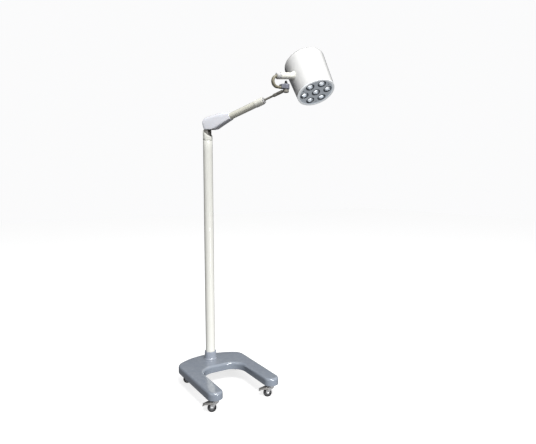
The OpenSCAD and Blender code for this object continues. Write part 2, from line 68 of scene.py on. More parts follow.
def joint_axis(name):
    return Vector(JOINTS[name]["axis"]).normalized()


def caster_frame(place):
    """On the floor under the swivel; y is the wheel's axis."""
    pos = joint_pos(place + "_swivel_turn")
    axle = joint_axis(place + "_wheel_roll")
    up = Vector((0, 0, 1))
    return axes_at(Vector((pos.x, pos.y, 0)), axle.cross(up), axle, up)


FACE_DIP = 58       # degrees the lamp face points below the horizontal
LAMP_OFFSET = 0.195  # from the tilt joint to the lamp's centre, metres

swivel_pos = joint_pos("arm_swivel")
COLUMN = Vector((swivel_pos[0], swivel_pos[1], 0.0))
BASE = Matrix.Translation(COLUMN)

# ARM: x along the arm from the elbow, y across it
arm_x = joint_axis("rod_roll")
arm_y = -joint_axis("arm_lift")
ARM = axes_at(joint_pos("arm_lift"), arm_x, arm_y, arm_x.cross(arm_y))
# TURRET: at the column's foot, x under the arm
turret_x = Vector((arm_x.x, arm_x.y, 0)).normalized()
TURRET = axes_at(COLUMN, turret_x, arm_y, Vector((0, 0, 1)))
SWIVEL = Matrix.Translation(joint_pos("lamp_swivel"))
# TILT: at the lamp's centre, x along the tilt axis
tilt_x = joint_axis("lamp_tilt")
world_y = Vector((0, 1, 0))
lamp_centre = joint_pos("lamp_tilt") + tilt_x * LAMP_OFFSET
TILT = axes_at(lamp_centre, tilt_x, world_y, tilt_x.cross(world_y))
# LAMP: at the lamp's centre, the face looks along -z
LAMP = Matrix.Translation(lamp_centre) @ Matrix.Rotation(math.radians(FACE_DIP - 90), 4, "X")


# ---------------------------------------------------------------- shader nodes
class Nodes:
    """Adds and links the nodes of one tree."""

    def __init__(self, tree):
        self.tree = tree

    def set(self, node, values):
        """Gives each named input a value, or a link where the value is a socket."""
        for key, value in values.items():
            if isinstance(value, bpy.types.NodeSocket):
                self.tree.links.new(value, node.inputs[key])
            else:
                node.inputs[key].default_value = value

    def add(self, kind, inputs=None, **settings):
        node = self.tree.nodes.new("ShaderNode" + kind)
        for key, value in settings.items():
            setattr(node, key, value)
        self.set(node, inputs or {})
        return node

    def remap(self, value, low, high, start=0.3, end=0.7):
        """Maps start..end of the value onto low..high."""
        node = self.add("MapRange", {"Value": value, "From Min": start, "From Max": end,
                                     "To Min": low, "To Max": high})
        return node.outputs["Result"]

    def mix(self, factor, under, over):
        """Lays the colour `over` on the colour or socket `under`."""
        if isinstance(under, tuple):
            under = (*under, 1)
        node = self.add("Mix", data_type="RGBA")
        self.set(node, {0: factor, 6: under, 7: (*over, 1)})
        return node.outputs[2]

    def math(self, operation, *values):
        return self.add("Math", dict(enumerate(values)), operation=operation).outputs[0]


class SurfaceNodes(Nodes):
    """The node groups that all the material looks share."""

    def __init__(self, tree):
        super().__init__(tree)
        self.coords = self.add("TexCoord").outputs["Object"]

    def noise(self, scale, detail=4.0, roughness=0.55, vector=None):
        node = self.add("TexNoise", {"Scale": scale, "Detail": detail, "Roughness": roughness,
                                     "Vector": vector or self.coords})
        return node.outputs["Fac"]

    def facing(self):
        return self.add("LayerWeight", {"Blend": 0.5}).outputs["Facing"]

    def mottled(self, base, var, var_scale):
        dark = tuple(max(0, c * (1 - var)) for c in base)
        light = tuple(min(1, c * (1 + var)) for c in base)
        return self.mix(self.remap(self.noise(scale=var_scale, detail=5), 0, 1), dark, light)

    def speckled(self, colour, base, amount):
        spots = self.noise(scale=1500, detail=2)
        bright = tuple(min(1, c * 1.6 + 0.05) for c in base)
        return self.mix(self.remap(spots, 0, amount, start=0.62, end=0.7), colour, bright)

    def worn(self, colour, wear, amount):
        """Wear on the sharp edges, broken up by noise."""
        pointed = self.add("NewGeometry").outputs["Pointiness"]
        edges = self.remap(pointed, 0, 1, start=0.54, end=0.62)
        patches = self.noise(scale=90, detail=4, roughness=0.7)
        patches = self.remap(patches, 0, 1, start=0.42, end=0.6)
        mask = self.math("MULTIPLY", edges, patches)
        return self.mix(self.math("MULTIPLY", mask, amount), colour, wear)

    def painted_edge_shade(self, colour, base, amount):
        """Painted shade: darker where the surface turns away from the eye."""
        mask = self.remap(self.facing(), 0.0, amount, start=0.45, end=1.0)
        return self.mix(mask, colour, tuple(c * 0.42 for c in base))

    def painted_corner_shade(self, colour, base, amount):
        """Painted shade: darker in corners within 12 mm of another surface."""
        node = self.add("AmbientOcclusion", {"Distance": 0.012}, samples=4)
        mask = self.remap(node.outputs["AO"], amount, 0.0, start=0.25, end=0.95)
        return self.mix(mask, colour, tuple(c * 0.35 for c in base))

    def dusty(self, colour, dust_col, amount):
        """Dust on the faces that look up."""
        normal = self.add("NewGeometry").outputs["Normal"]
        height = self.add("SeparateXYZ", {0: normal}).outputs["Z"]
        upward = self.remap(height, 0, amount, start=0.35, end=1.0)
        patches = self.noise(scale=38, detail=6, roughness=0.7)
        patches = self.remap(patches, 0, 1, start=0.4, end=0.75)
        return self.mix(self.math("MULTIPLY", upward, patches), colour, dust_col)

    def brush_marks(self, stretch):
        mapping = self.add("Mapping", {"Scale": stretch, "Vector": self.coords})
        return self.noise(scale=60, detail=3, roughness=0.6, vector=mapping.outputs["Vector"])


def build_material(name, base, rough, metallic=0.0, rough_var=0.08, var=0.05, var_scale=6.0,
                   bump=0.0, bump_scale=400.0, brushed=None, speckle=0.0, coat=0.0,
                   coat_rough=0.05, wear=None, wear_amt=0.5, edge=0.0, corner_shade=0.0, dust=0.0,
                   dust_col=(0.75, 0.73, 0.68), trans=0.0, ior=1.45, sss=0.0,
                   emit=None, emit_s=0.0, emit_face=False):
    """Principled material.

    var and rough_var spread the colour and roughness about base and rough; brushed is the
    stretch of the brush marks on each axis; wear is the colour under worn edges; edge is
    an amount of painted shade towards the outline, corner_shade one of painted shade in
    corners and dust one of dust on upward faces; emit is a glow colour, the LEDs' own light
    and painted light on the bezel, panel and lenses; emit_face makes the glow strongest
    face on, a painted highlight.
    """
    result = bpy.data.materials.new(name)
    result.use_nodes = True
    net = SurfaceNodes(result.node_tree)
    shader = result.node_tree.nodes["Principled BSDF"]

    colour = net.mottled(base, var, var_scale)
    roughness = net.remap(net.noise(scale=var_scale * 4.3, detail=6, roughness=0.6),
                          max(0.01, rough - rough_var), min(1, rough + rough_var))
    if speckle:
        colour = net.speckled(colour, base, speckle)
    height = None
    if bump:
        height = net.noise(scale=bump_scale, detail=3, roughness=0.5)
    if brushed:
        height = net.brush_marks(brushed)
        roughness = net.math("MULTIPLY_ADD", height, 0.22, roughness)
    if wear is not None:
        colour = net.worn(colour, wear, wear_amt)
    # Painted shade towards the outline, where the surface turns from the eye.
    if edge:
        colour = net.painted_edge_shade(colour, base, edge)
    # Painted shade in corners and gaps between parts.
    if corner_shade:
        colour = net.painted_corner_shade(colour, base, corner_shade)
    if dust:
        colour = net.dusty(colour, dust_col, dust)

    net.set(shader, {"Base Color": colour, "Roughness": roughness, "Metallic": metallic,
                     "IOR": ior, "Coat Weight": coat, "Coat Roughness": coat_rough,
                     "Transmission Weight": trans})
    if sss:
        net.set(shader, {"Subsurface Weight": sss,
                         "Subsurface Radius": (0.004, 0.003, 0.0025)})
    # Glow: the LEDs' own light; on the bezel, panel and lenses it is painted light.
    if emit:
        net.set(shader, {"Emission Color": (*emit, 1), "Emission Strength": emit_s})
        if emit_face:
            # Painted highlight: the glow is strongest where the surface faces the eye.
            glow = net.remap(net.facing(), emit_s, emit_s * 0.05, start=0.04, end=0.42)
            net.set(shader, {"Emission Strength": glow})
    if height is not None:
        node = net.add("Bump", {"Strength": bump or 0.08, "Distance": 0.0006, "Height": height})
        normal = node.outputs["Normal"]
        net.set(shader, {"Normal": normal})
        if coat:
            net.set(shader, {"Coat Normal": normal})
    return result


# ---------------------------------------------------------------- materials
# In these looks the edge amount and the corner amount paint shade into the colour.
LOOKS = {
    "base_enamel": dict(
        base=(0.222, 0.252, 0.298), rough=0.18, rough_var=0.05, var=0.06, var_scale=3.5,
        bump=0.03, bump_scale=260, coat=1.0, coat_rough=0.04, wear=(0.5, 0.52, 0.56),
        wear_amt=0.35, dust=0.10, corner_shade=0.25),
    "socket_enamel": dict(
        base=(0.27, 0.295, 0.345), rough=0.24, bump=0.05, bump_scale=260, coat=0.6,
        coat_rough=0.06, wear=(0.55, 0.57, 0.6), wear_amt=0.35, corner_shade=0.3),
    "cream_powder_coat": dict(
        base=(0.74, 0.74, 0.69), rough=0.34, rough_var=0.07, var=0.02, var_scale=4, bump=0.04,
        bump_scale=700, coat=0.15, wear=(0.95, 0.95, 0.93), wear_amt=0.2, corner_shade=0.15,
        edge=0.9),
    "arm_powder_coat": dict(
        base=(0.70, 0.69, 0.60), rough=0.36, rough_var=0.07, var=0.025, var_scale=5,
        bump=0.02, bump_scale=700, coat=0.12, wear=(0.95, 0.95, 0.9), wear_amt=0.1,
        corner_shade=0.2, edge=0.8),
    "collar_cream": dict(
        base=(0.83, 0.82, 0.74), rough=0.32, rough_var=0.06, var=0.02, bump=0.03,
        bump_scale=900, coat=0.2, corner_shade=0.25, edge=0.7),
    "cover_moulding": dict(
        base=(0.80, 0.81, 0.86), rough=0.38, rough_var=0.06, var=0.02, var_scale=7,
        bump=0.015, bump_scale=1400, wear=(0.88, 0.88, 0.92), wear_amt=0.1, corner_shade=0.2,
        sss=0.03, edge=0.7),
    # Cream paint darkened to olive: painted shade for the strap's shaded side; worn edges show
    # the cream.
    "bracket_cream_painted_shade": dict(
        base=(0.27, 0.25, 0.185), rough=0.33, rough_var=0.07, var=0.03, bump=0.08,
        bump_scale=700, coat=0.2, wear=(0.8, 0.79, 0.72), wear_amt=0.4, corner_shade=0.3),
    "boss_coat": dict(
        base=(0.88, 0.875, 0.80), rough=0.3, rough_var=0.06, var=0.015, bump=0.03,
        bump_scale=800, coat=0.25, corner_shade=0.2, edge=0.8),
    "cap_moulding": dict(
        base=(0.55, 0.55, 0.55), rough=0.42, var=0.04, bump=0.05, bump_scale=1500,
        corner_shade=0.25),
    "lamp_gloss_white": dict(
        base=(0.80, 0.80, 0.79), rough=0.20, rough_var=0.05, var=0.012, var_scale=3,
        bump=0.02, bump_scale=220, coat=0.5, coat_rough=0.04, wear=(0.97, 0.97, 0.97),
        wear_amt=0.2, corner_shade=0.08, edge=1.0),
    # The bezel glows: painted light that lifts the lower rim out of shade.
    "bezel_white": dict(
        base=(0.78, 0.80, 0.82), rough=0.24, rough_var=0.05, var=0.015, bump=0.03, coat=0.4,
        corner_shade=0.15, emit=(0.80, 0.83, 0.85), emit_s=0.42),
    # The panel glows in its own colour: painted light on a face turned down into shade.
    "panel_blue_grey": dict(
        base=(0.43, 0.475, 0.52), metallic=0.2, rough=0.36, rough_var=0.07, var_scale=14,
        bump=0.05, bump_scale=1600, speckle=0.25, corner_shade=0.5, emit=(0.50, 0.54, 0.58),
        emit_s=0.36),
    "reflector_coat": dict(
        base=(0.58, 0.61, 0.64), metallic=1.0, rough=0.11, rough_var=0.05, var=0.06,
        var_scale=30, bump=0.12, bump_scale=420),
    "cup_rim_dark": dict(
        base=(0.055, 0.06, 0.07), rough=0.32, var=0.1, bump=0.06, bump_scale=1500),
    # The lenses glow, brightest face on: a painted highlight in each cup.
    "lens_acrylic": dict(
        base=(0.90, 0.93, 0.96), rough=0.05, rough_var=0.02, var=0.01, trans=0.75, ior=1.49,
        bump=0.015, bump_scale=300, emit=(0.97, 0.98, 1.0), emit_s=0.62, emit_face=True),
    "led_phosphor": dict(
        base=(0.85, 0.72, 0.22), rough=0.45, var=0.06, var_scale=200, bump=0.05,
        bump_scale=2500, emit=(1.0, 0.98, 0.92), emit_s=7.0),
    "board_mask": dict(
        base=(0.82, 0.83, 0.82), rough=0.38, var=0.03, bump=0.05, bump_scale=900, corner_shade=0.2),
    "extruded_aluminium": dict(
        base=(0.60, 0.61, 0.63), metallic=1.0, rough=0.36, brushed=(1, 30, 30), corner_shade=0.3),
    "turned_steel": dict(
        base=(0.62, 0.63, 0.65), metallic=1.0, rough=0.24, brushed=(8, 8, 60), corner_shade=0.3),
    "zinc_plated": dict(
        base=(0.66, 0.67, 0.68), metallic=1.0, rough=0.3, rough_var=0.1, var=0.08,
        var_scale=80, bump=0.08, bump_scale=900, corner_shade=0.5),
    "painted_screw": dict(
        base=(0.80, 0.81, 0.86), rough=0.36, var=0.04, bump=0.05, bump_scale=1200, coat=0.1),
    "bright_plated_steel": dict(
        base=(0.86, 0.865, 0.87), metallic=0.7, rough=0.26, var=0.06, var_scale=40,
        bump=0.04, bump_scale=700, corner_shade=0.45, wear=(0.9, 0.9, 0.9), wear_amt=0.4),
    "blued_steel": dict(
        base=(0.30, 0.31, 0.37), metallic=0.7, rough=0.3, rough_var=0.09, var=0.12,
        var_scale=22, bump=0.05, bump_scale=900, wear=(0.6, 0.6, 0.63), corner_shade=0.3),
    "black_oxide": dict(
        base=(0.035, 0.035, 0.04), metallic=0.7, rough=0.3, rough_var=0.09, var=0.15,
        var_scale=40, bump=0.06, bump_scale=900, wear=(0.3, 0.3, 0.3), corner_shade=0.2),
    "rod_satin": dict(
        base=(0.34, 0.325, 0.285), metallic=0.55, rough=0.3, var=0.06, var_scale=18,
        brushed=(6, 40, 40), corner_shade=0.3),
    "dark_casting": dict(
        base=(0.30, 0.29, 0.27), metallic=0.2, rough=0.5, rough_var=0.1, var=0.15,
        var_scale=30, bump=0.35, bump_scale=500, wear=(0.4, 0.4, 0.4), wear_amt=0.45,
        corner_shade=0.3),
    "raw_iron": dict(
        base=(0.12, 0.12, 0.125), metallic=0.4, rough=0.65, var=0.2, var_scale=20, bump=0.5,
        bump_scale=300, corner_shade=0.3),
    "black_primer": dict(
        base=(0.045, 0.045, 0.05), rough=0.5, var=0.12, bump=0.15, bump_scale=600,
        wear=(0.3, 0.3, 0.3), wear_amt=0.3, corner_shade=0.3),
    "zinc_sheet": dict(
        base=(0.5, 0.515, 0.54), metallic=0.9, rough=0.4, rough_var=0.12, var=0.12,
        var_scale=26, bump=0.06, bump_scale=300, corner_shade=0.3),
    "black_nylon": dict(
        base=(0.025, 0.025, 0.027), rough=0.45, var=0.15, bump=0.12, bump_scale=1400,
        corner_shade=0.2),
    "spring_steel": dict(
        base=(0.22, 0.22, 0.24), metallic=0.95, rough=0.3, var=0.12, var_scale=60, bump=0.05,
        bump_scale=900, corner_shade=0.4),
    "tyre_rubber": dict(
        base=(0.022, 0.022, 0.024), rough=0.62, rough_var=0.1, var=0.25, var_scale=45,
        bump=0.28, bump_scale=900, dust=0.35, dust_col=(0.22, 0.21, 0.2),
        wear=(0.09, 0.09, 0.09)),
    "hub_moulding": dict(
        base=(0.16, 0.163, 0.168), rough=0.42, var=0.06, bump=0.06, bump_scale=1400,
        corner_shade=0.5),
    "lever_plated": dict(
        base=(0.50, 0.49, 0.47), metallic=0.7, rough=0.34, rough_var=0.1, var=0.12,
        var_scale=45, bump=0.08, bump_scale=800, wear=(0.7, 0.7, 0.7), corner_shade=0.4),
    "button_moulding": dict(
        base=(0.075, 0.075, 0.085), rough=0.45, var=0.08, bump=0.12, bump_scale=1400,
        corner_shade=0.3),
    "joint_shadow": dict(base=(0.02, 0.02, 0.022), rough=0.7, var=0.2, bump=0.1),
}
MATERIALS = {name: build_material(name, **look) for name, look in LOOKS.items()}

# CAD pieces that stay in view, and their materials
CAD_MATERIALS = {
    "base_frame": "black_primer", "base_plate": "zinc_sheet", "ballast": "raw_iron",
    "plate_screws": "zinc_plated", "socket_bolts": "zinc_plated",
    "caster_stems": "bright_plated_steel", "column_bushes": "black_nylon",
    "elbow_pin": "turned_steel", "arm_root": "dark_casting", "spring_rod": "turned_steel",
    "tilt_shaft": "turned_steel", "led_board": "board_mask", "leds": "led_phosphor",
    "heat_sink": "extruded_aluminium",
}


# ---------------------------------------------------------------- objects
def shade_smooth(data, angle):
    for polygon in data.polygons:
        polygon.use_smooth = True
    data.set_sharp_from_angle(angle=math.radians(angle))


def add_object(name, mesh, place):
    """Turns a bmesh in mm into an object in the given frame."""
    data = bpy.data.meshes.new(name)
    mesh.to_mesh(data)
    mesh.free()
    data.transform(Matrix.Scale(MM, 4))
    data.transform(place)
    obj = bpy.data.objects.new(name, data)
    scene.collection.objects.link(obj)
    return obj


def dress(obj, body, slot, material, replaces=None, angle=35):
    shade_smooth(obj.data, angle)
    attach(obj, body)
    obj.data.materials.append(MATERIALS[material])
    if replaces:
        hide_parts(replaces)


def commit(name, mesh, place, *looks, **options):
    """Welds a finished bmesh and adds it; the rest goes to dress()."""
    bmesh.ops.remove_doubles(mesh, verts=mesh.verts, dist=0.001)
    bmesh.ops.recalc_face_normals(mesh, faces=mesh.faces)
    dress(add_object(name, mesh, place), *looks, **options)


def dress_cad():
    for name, obj in frame["nodes"].items():
        if name in CAD_MATERIALS:
            obj.data.materials.clear()
            obj.data.materials.append(MATERIALS[CAD_MATERIALS[name]])
            shade_smooth(obj.data, 30)


# ---------------------------------------------------------------- mesh helpers
def bridge(mesh, lower, upper, closed=True, flip=False, skip=None):
    """Joins two rows of vertices with quads, leaving out those that skip() picks."""
    count = len(lower)
    for k in range(count if closed else count - 1):
        n = (k + 1) % count
        quad = (lower[k], lower[n], upper[n], upper[k])
        if skip and skip(quad):
            continue
        mesh.faces.new(quad[:1] + quad[:0:-1] if flip else quad)


def loop_edges(mesh, row):
    """Edges of a closed row, made where missing."""
    return [mesh.edges.get(pair) or mesh.edges.new(pair)
            for pair in zip(row, row[1:] + row[:1])]


def fillet(profile, steps=5):
    """Rounds the corners written (r, z, rounding); (r, z) points stay as they are."""
    points = []
    for i, point in enumerate(profile):
        if len(point) == 2:
            points.append(point)
            continue
        before, corner, after = (Vector(p[:2]) for p in profile[i - 1:i + 2])
        back, ahead = before - corner, after - corner
        room = min(back.length * 0.49, ahead.length * 0.49)
        back.normalize()
        ahead.normalize()
        half = math.acos(max(-1, min(1, back.dot(ahead)))) / 2
        cut = min(point[2] / math.tan(half), room)
        radius = cut * math.tan(half)
        centre = corner + (back + ahead).normalized() * (radius / math.sin(half))
        start = corner + back * cut - centre
        end = corner + ahead * cut - centre
        angle = math.atan2(start.y, start.x)
        turn = (math.atan2(end.y, end.x) - angle + math.pi) % (2 * math.pi) - math.pi
        for k in range(steps + 1):
            at_angle = angle + turn * k / steps
            points.append((centre.x + radius * math.cos(at_angle),
                           centre.y + radius * math.sin(at_angle)))
    return points


def lathe(mesh, profile, segments=64, axis="z", at=(0, 0, 0), closed=False, warp=None):
    """Turns a profile of (r, z) or (r, z, rounding) points about an axis.

    A point at r = 0 becomes a pole; warp(x, y, z) moves points before they are placed.
    """
    rows = []
    for radius, height in fillet(profile):
        if radius <= 1e-6:
            ring = [(0.0, 0.0, height)]
        else:
            angles = [2 * math.pi * k / segments for k in range(segments)]
            ring = [(radius * math.cos(a), radius * math.sin(a), height) for a in angles]
        row = []
        for x, y, z in ring:
            if warp:
                x, y, z = warp(x, y, z)
            if axis == "x":
                x, y, z = z, x, y
            elif axis == "y":
                x, y, z = y, z, x
            row.append(mesh.verts.new((x + at[0], y + at[1], z + at[2])))
        rows.append(row)
    pairs = list(zip(rows[:-1], rows[1:]))
    if closed:
        pairs.append((rows[-1], rows[0]))
    for lower, upper in pairs:
        if len(lower) > 1 and len(upper) > 1:
            bridge(mesh, lower, upper, flip=True)
            continue
        for k in range(segments):
            n = (k + 1) % segments
            if len(lower) == 1:
                mesh.faces.new((lower[0], upper[k], upper[n]))
            else:
                mesh.faces.new((lower[k], upper[0], lower[n]))
    return mesh


def merge(mesh, part, move=None):
    """Adds a bmesh to another, moved by a matrix."""
    if move:
        part.transform(move)
    data = bpy.data.meshes.new("tmp")
    part.to_mesh(data)
    part.free()
    mesh.from_mesh(data)
    bpy.data.meshes.remove(data)


def plate(mesh, outline, start, end, plane="xz", bevel=1.0, steps=2, min_angle=28, holes=()):
    """Adds a prism of a closed outline from start to end on the third axis.

    Edges sharper than min_angle degrees are bevelled.
    """
    part = bmesh.new()

    def place(u, v, w):
        return {"xz": (u, w, v), "xy": (u, v, w), "yz": (w, u, v)}[plane]

    rings = []
    for loop in (outline, *holes):
        low = [part.verts.new(place(u, v, start)) for u, v in loop]
        high = [part.verts.new(place(u, v, end)) for u, v in loop]
        bridge(part, low, high)
        rings.append((low, high))
    for rows in zip(*rings):
        if holes:
            edges = [edge for row in rows for edge in loop_edges(part, row)]
            bmesh.ops.triangle_fill(part, use_beauty=True, use_dissolve=True, edges=edges)
        else:
            part.faces.new(rows[0])
    bmesh.ops.recalc_face_normals(part, faces=part.faces)
    if bevel:
        sharp = [edge for edge in part.edges if len(edge.link_faces) == 2
                 and edge.calc_face_angle(0) > math.radians(min_angle)]
        bmesh.ops.bevel(part, geom=sharp, offset=bevel, segments=steps, profile=0.5,
                        affect="EDGES", clamp_overlap=True)
    merge(mesh, part)
    return mesh


def arc(x, y, radius, count, start=0.0, end=360.0):
    """Points on an arc in degrees; a full circle doesn't repeat its first point."""
    points = count if abs(end - start) >= 359.9 else count + 1
    angles = [math.radians(start + (end - start) * k / count) for k in range(points)]
    return [(x + radius * math.cos(a), y + radius * math.sin(a)) for a in angles]


def sweep(mesh, sections):
    """Joins closed 3-D loops of equal length and caps both ends."""
    rows = [[mesh.verts.new(point) for point in section] for section in sections]
    for lower, upper in zip(rows[:-1], rows[1:]):
        bridge(mesh, lower, upper)
    mesh.faces.new(rows[0])
    mesh.faces.new(rows[-1])


def rounded_rect(width, height, radius, steps):
    points = []
    for sx, sy, start in ((1, 1, 0), (-1, 1, 90), (-1, -1, 180), (1, -1, 270)):
        x, y = sx * (width / 2 - radius), sy * (height / 2 - radius)
        for k in range(steps + 1):
            angle = math.radians(start + 90 * k / steps)
            points.append((x + radius * math.cos(angle), y + radius * math.sin(angle)))
    return points


def mirrored(half):
    """A profile followed by its mirror image in z = 0."""
    return half + [(r, -z) for r, z in reversed(half)]


# ---------------------------------------------------------------- base
BASE_HALF_WIDTH = 230.0
BACK_RADIUS, BACK_Y = 366.0, -275.0      # broad arc on the +Y side and its centre
CORNER_RADIUS = 84.0
NOTCH_HALF_WIDTH = 139.0                 # gap between the legs
NOTCH_Y, NOTCH_RADIUS = -131.0, 95.0     # end of the gap and its corners
LEG_END_Y = -500.0
BASE_TOP, BASE_TOP_INNER = 120.0, 116.8
BASE_HOLE_RADIUS, BASE_HOLE_SEGMENTS = 38.2, 48
SHOULDER_RADIUS = 14.0


def base_outline(inset):
    """Outline of the U-shaped base, moved inwards by inset."""
    corner_x = BASE_HALF_WIDTH - CORNER_RADIUS
    corner_y = BACK_Y + math.sqrt((BACK_RADIUS - CORNER_RADIUS) ** 2 - corner_x ** 2)
    meet = math.degrees(math.atan2(corner_y - BACK_Y, corner_x))
    leg_radius = (BASE_HALF_WIDTH - NOTCH_HALF_WIDTH) / 2
    leg_x = (BASE_HALF_WIDTH + NOTCH_HALF_WIDTH) / 2
    leg_y = LEG_END_Y + leg_radius
    notch_x, notch_y = NOTCH_HALF_WIDTH - NOTCH_RADIUS, NOTCH_Y - NOTCH_RADIUS
    corner, leg, notch = CORNER_RADIUS - inset, leg_radius - inset, NOTCH_RADIUS + inset
    # arc, and how many parts the straight line after it is cut into
    parts = [
        (arc(corner_x, corner_y, corner, 14, 0, meet), 1),
        (arc(0, BACK_Y, BACK_RADIUS - inset, 28, meet, 180 - meet)[1:-1], 1),
        (arc(-corner_x, corner_y, corner, 14, 180 - meet, 180), 6),
        (arc(-leg_x, leg_y, leg, 32, 180, 360), 5),
        (arc(-notch_x, notch_y, notch, 14, 180, 90), 3),
        (arc(notch_x, notch_y, notch, 14, 90, 0), 5),
        (arc(leg_x, leg_y, leg, 32, 180, 360), 6),
    ]
    points = []
    for k, (curve, splits) in enumerate(parts):
        x0, y0 = curve[-1]
        x1, y1 = parts[(k + 1) % len(parts)][0][0]
        points += curve
        points += [(x0 + (x1 - x0) * n / splits, y0 + (y1 - y0) * n / splits)
                   for n in range(1, splits)]
    return points


def base_shell():
    # (inset, z) of the outside from the lower edge up, then of the inside
    outside = [(3.0, 77.2), (3.0, 75.3), (2.6, 75.0), (0.7, 75.0), (0.15, 75.2),
               (0.0, 75.9), (0.0, 80.0), (0.2, 92.0), (0.4, 105.6)]
    for k in range(1, 11):
        angle = math.pi / 2 * k / 10
        outside.append((0.4 + SHOULDER_RADIUS * (1 - math.cos(angle)),
                        105.8 + SHOULDER_RADIUS * math.sin(angle)))
    outside += [(19.0, 119.93), (26.0, BASE_TOP)]
    inside = [(3.4, 103.0), (7.0, 111.5), (14.0, BASE_TOP_INNER)]
    mesh = bmesh.new()

    def make_rows(stations):
        return [[mesh.verts.new((x, y, z)) for x, y in base_outline(inset)]
                for inset, z in stations]

    def skin(rows, z, flip):
        """Joins the rows, then fills the last one up to the column hole."""
        for lower, upper in zip(rows[:-1], rows[1:]):
            bridge(mesh, lower, upper, flip=flip)
        angles = [2 * math.pi * k / BASE_HOLE_SEGMENTS for k in range(BASE_HOLE_SEGMENTS)]
        ring = [mesh.verts.new((BASE_HOLE_RADIUS * math.cos(a),
                                BASE_HOLE_RADIUS * math.sin(a), z)) for a in angles]
        edges = loop_edges(mesh, rows[-1]) + loop_edges(mesh, ring)
        bmesh.ops.triangle_fill(mesh, use_beauty=True, use_dissolve=False, edges=edges)
        return ring

    outer_rows = make_rows(outside)
    top_ring = skin(outer_rows, BASE_TOP, flip=False)
    inner_rows = [outer_rows[0]] + make_rows(inside)
    inner_ring = skin(inner_rows, BASE_TOP_INNER, flip=True)
    bridge(mesh, top_ring, inner_ring, flip=True)
    commit("base_shell_skin", mesh, BASE, "base", "base_paint", "base_enamel", "base_shell",
           angle=30)


# ---------------------------------------------------------------- column
COLUMN_RADIUS, COLUMN_BORE = 30.0, 27.2
COLUMN_FOOT, COLUMN_TOP = 124.0, 1540.0


def column_socket():
    """Lipped sleeve with a flared foot and a flange under the base's top."""
    profile = [(30.2, 123.0), (30.2, 171.0), (31.4, 172.0, 0.6), (36.2, 172.0, 1.0),
               (37.5, 170.7, 1.0), (37.5, 132.0, 6), (38.4, 127.6, 5), (42.6, 123.6, 3),
               (43.0, 121.6, 1.2), (42.4, 120.1), (37.6, 120.1), (37.4, 104.0),
               (54.6, 104.0), (54.6, 109.2), (20, 109.2), (20, 122.9)]
    commit("column_socket_skin", lathe(bmesh.new(), profile, 96, closed=True), BASE,
           "base", "socket_paint", "socket_enamel", "column_socket")


def socket_grub_screws():
    profile = [(0.001, 36.2), (1.6, 36.2), (1.9, 37.2), (2.9, 37.3), (3.1, 37.0),
               (3.1, 34.5), (0, 34.5)]
    height = 150
    mesh = bmesh.new()
    for angle in (-90, 30, 150):
        move = (Matrix.Rotation(math.radians(angle), 4, "Z")
                @ Matrix.Translation((0, 0, height)))
        merge(mesh, lathe(bmesh.new(), profile, 20, "x"), move)
    commit("socket_grub_screws", mesh, BASE, "base", "screw_steel", "zinc_plated")


def column():
    profile = [(COLUMN_BORE, COLUMN_FOOT)]
    profile += [(COLUMN_RADIUS, z) for z in np.linspace(COLUMN_FOOT, COLUMN_TOP - 1.4, 24)]
    profile += [(29.2, COLUMN_TOP - 0.2), (COLUMN_BORE, COLUMN_TOP - 0.2)]
    commit("column_skin", lathe(bmesh.new(), profile, 96, closed=True), BASE,
           "base", "column_paint", "cream_powder_coat", "column_tube")


# ---------------------------------------------------------------- casters
WHEEL_RADIUS, TRAIL = 25.0, 24.0   # the axle is TRAIL along x from the swivel
AXLE = (TRAIL, 0, WHEEL_RADIUS)
CASTERS = (("fl", "front_left"), ("fr", "front_right"),
           ("rl", "rear_left"), ("rr", "rear_right"))
BRAKED = ("fl", "fr")


def caster_fork(code, place, body):
    """Two cheeks with axle bosses, a crown and the swivel race housing."""
    mesh = bmesh.new()
    cheek = ([(-13, 61), (-13, 58.2), (3.6, 44)]
             + arc(TRAIL, WHEEL_RADIUS, 8.5, 14, 205, 372) + [(29.5, 50), (16, 61)])
    for s in SIDES:
        plate(mesh, cheek, s * 14 - 1.5, s * 14 + 1.5, bevel=0.7)
        boss = [(0, s * 15.3), (6.9, s * 15.3), (7.3, s * 15.55), (6.6, s * 15.9),
                (0, s * 15.9)]
        lathe(mesh, boss, 32, "y", AXLE)
    crown = [(-13, -15.5), (15, -15.5), (16.5, -13), (16.5, 13), (15, 15.5), (-13, 15.5),
             (-15, 13), (-15, -13)]
    plate(mesh, crown, 57.0, 61.0, "xy")
    race = [(7.0, 57.2), (7.0, 71.6), (12.6, 71.6), (14.4, 70.4, 1), (15.0, 68.0, 1),
            (15.0, 60.2), (16.2, 59.8), (16.2, 57.2)]
    lathe(mesh, race, 48, closed=True)
    commit("caster_%s_fork" % code, mesh, place, body, "caster_steel",
           "bright_plated_steel", code + "_fork")


def caster_axle(code, place, body):
    """Hexagonal bolt head and nut on a round shank."""
    mesh = bmesh.new()
    for start, y0, y1 in ((0, -19.5, -16.0), (15, 16.0, 19.4)):
        hexagon = arc(TRAIL, WHEEL_RADIUS, 6.5, 6, start, start + 360)
        plate(mesh, hexagon, y0, y1, bevel=0.5, min_angle=20)
    shank = [(0, -18), (3.95, -18), (3.95, 20.2), (3.3, 20.9), (0, 20.9)]
    lathe(mesh, shank, 24, "y", AXLE)
    commit("caster_%s_axle" % code, mesh, place, body, "screw_steel", "zinc_plated",
           code + "_axle")


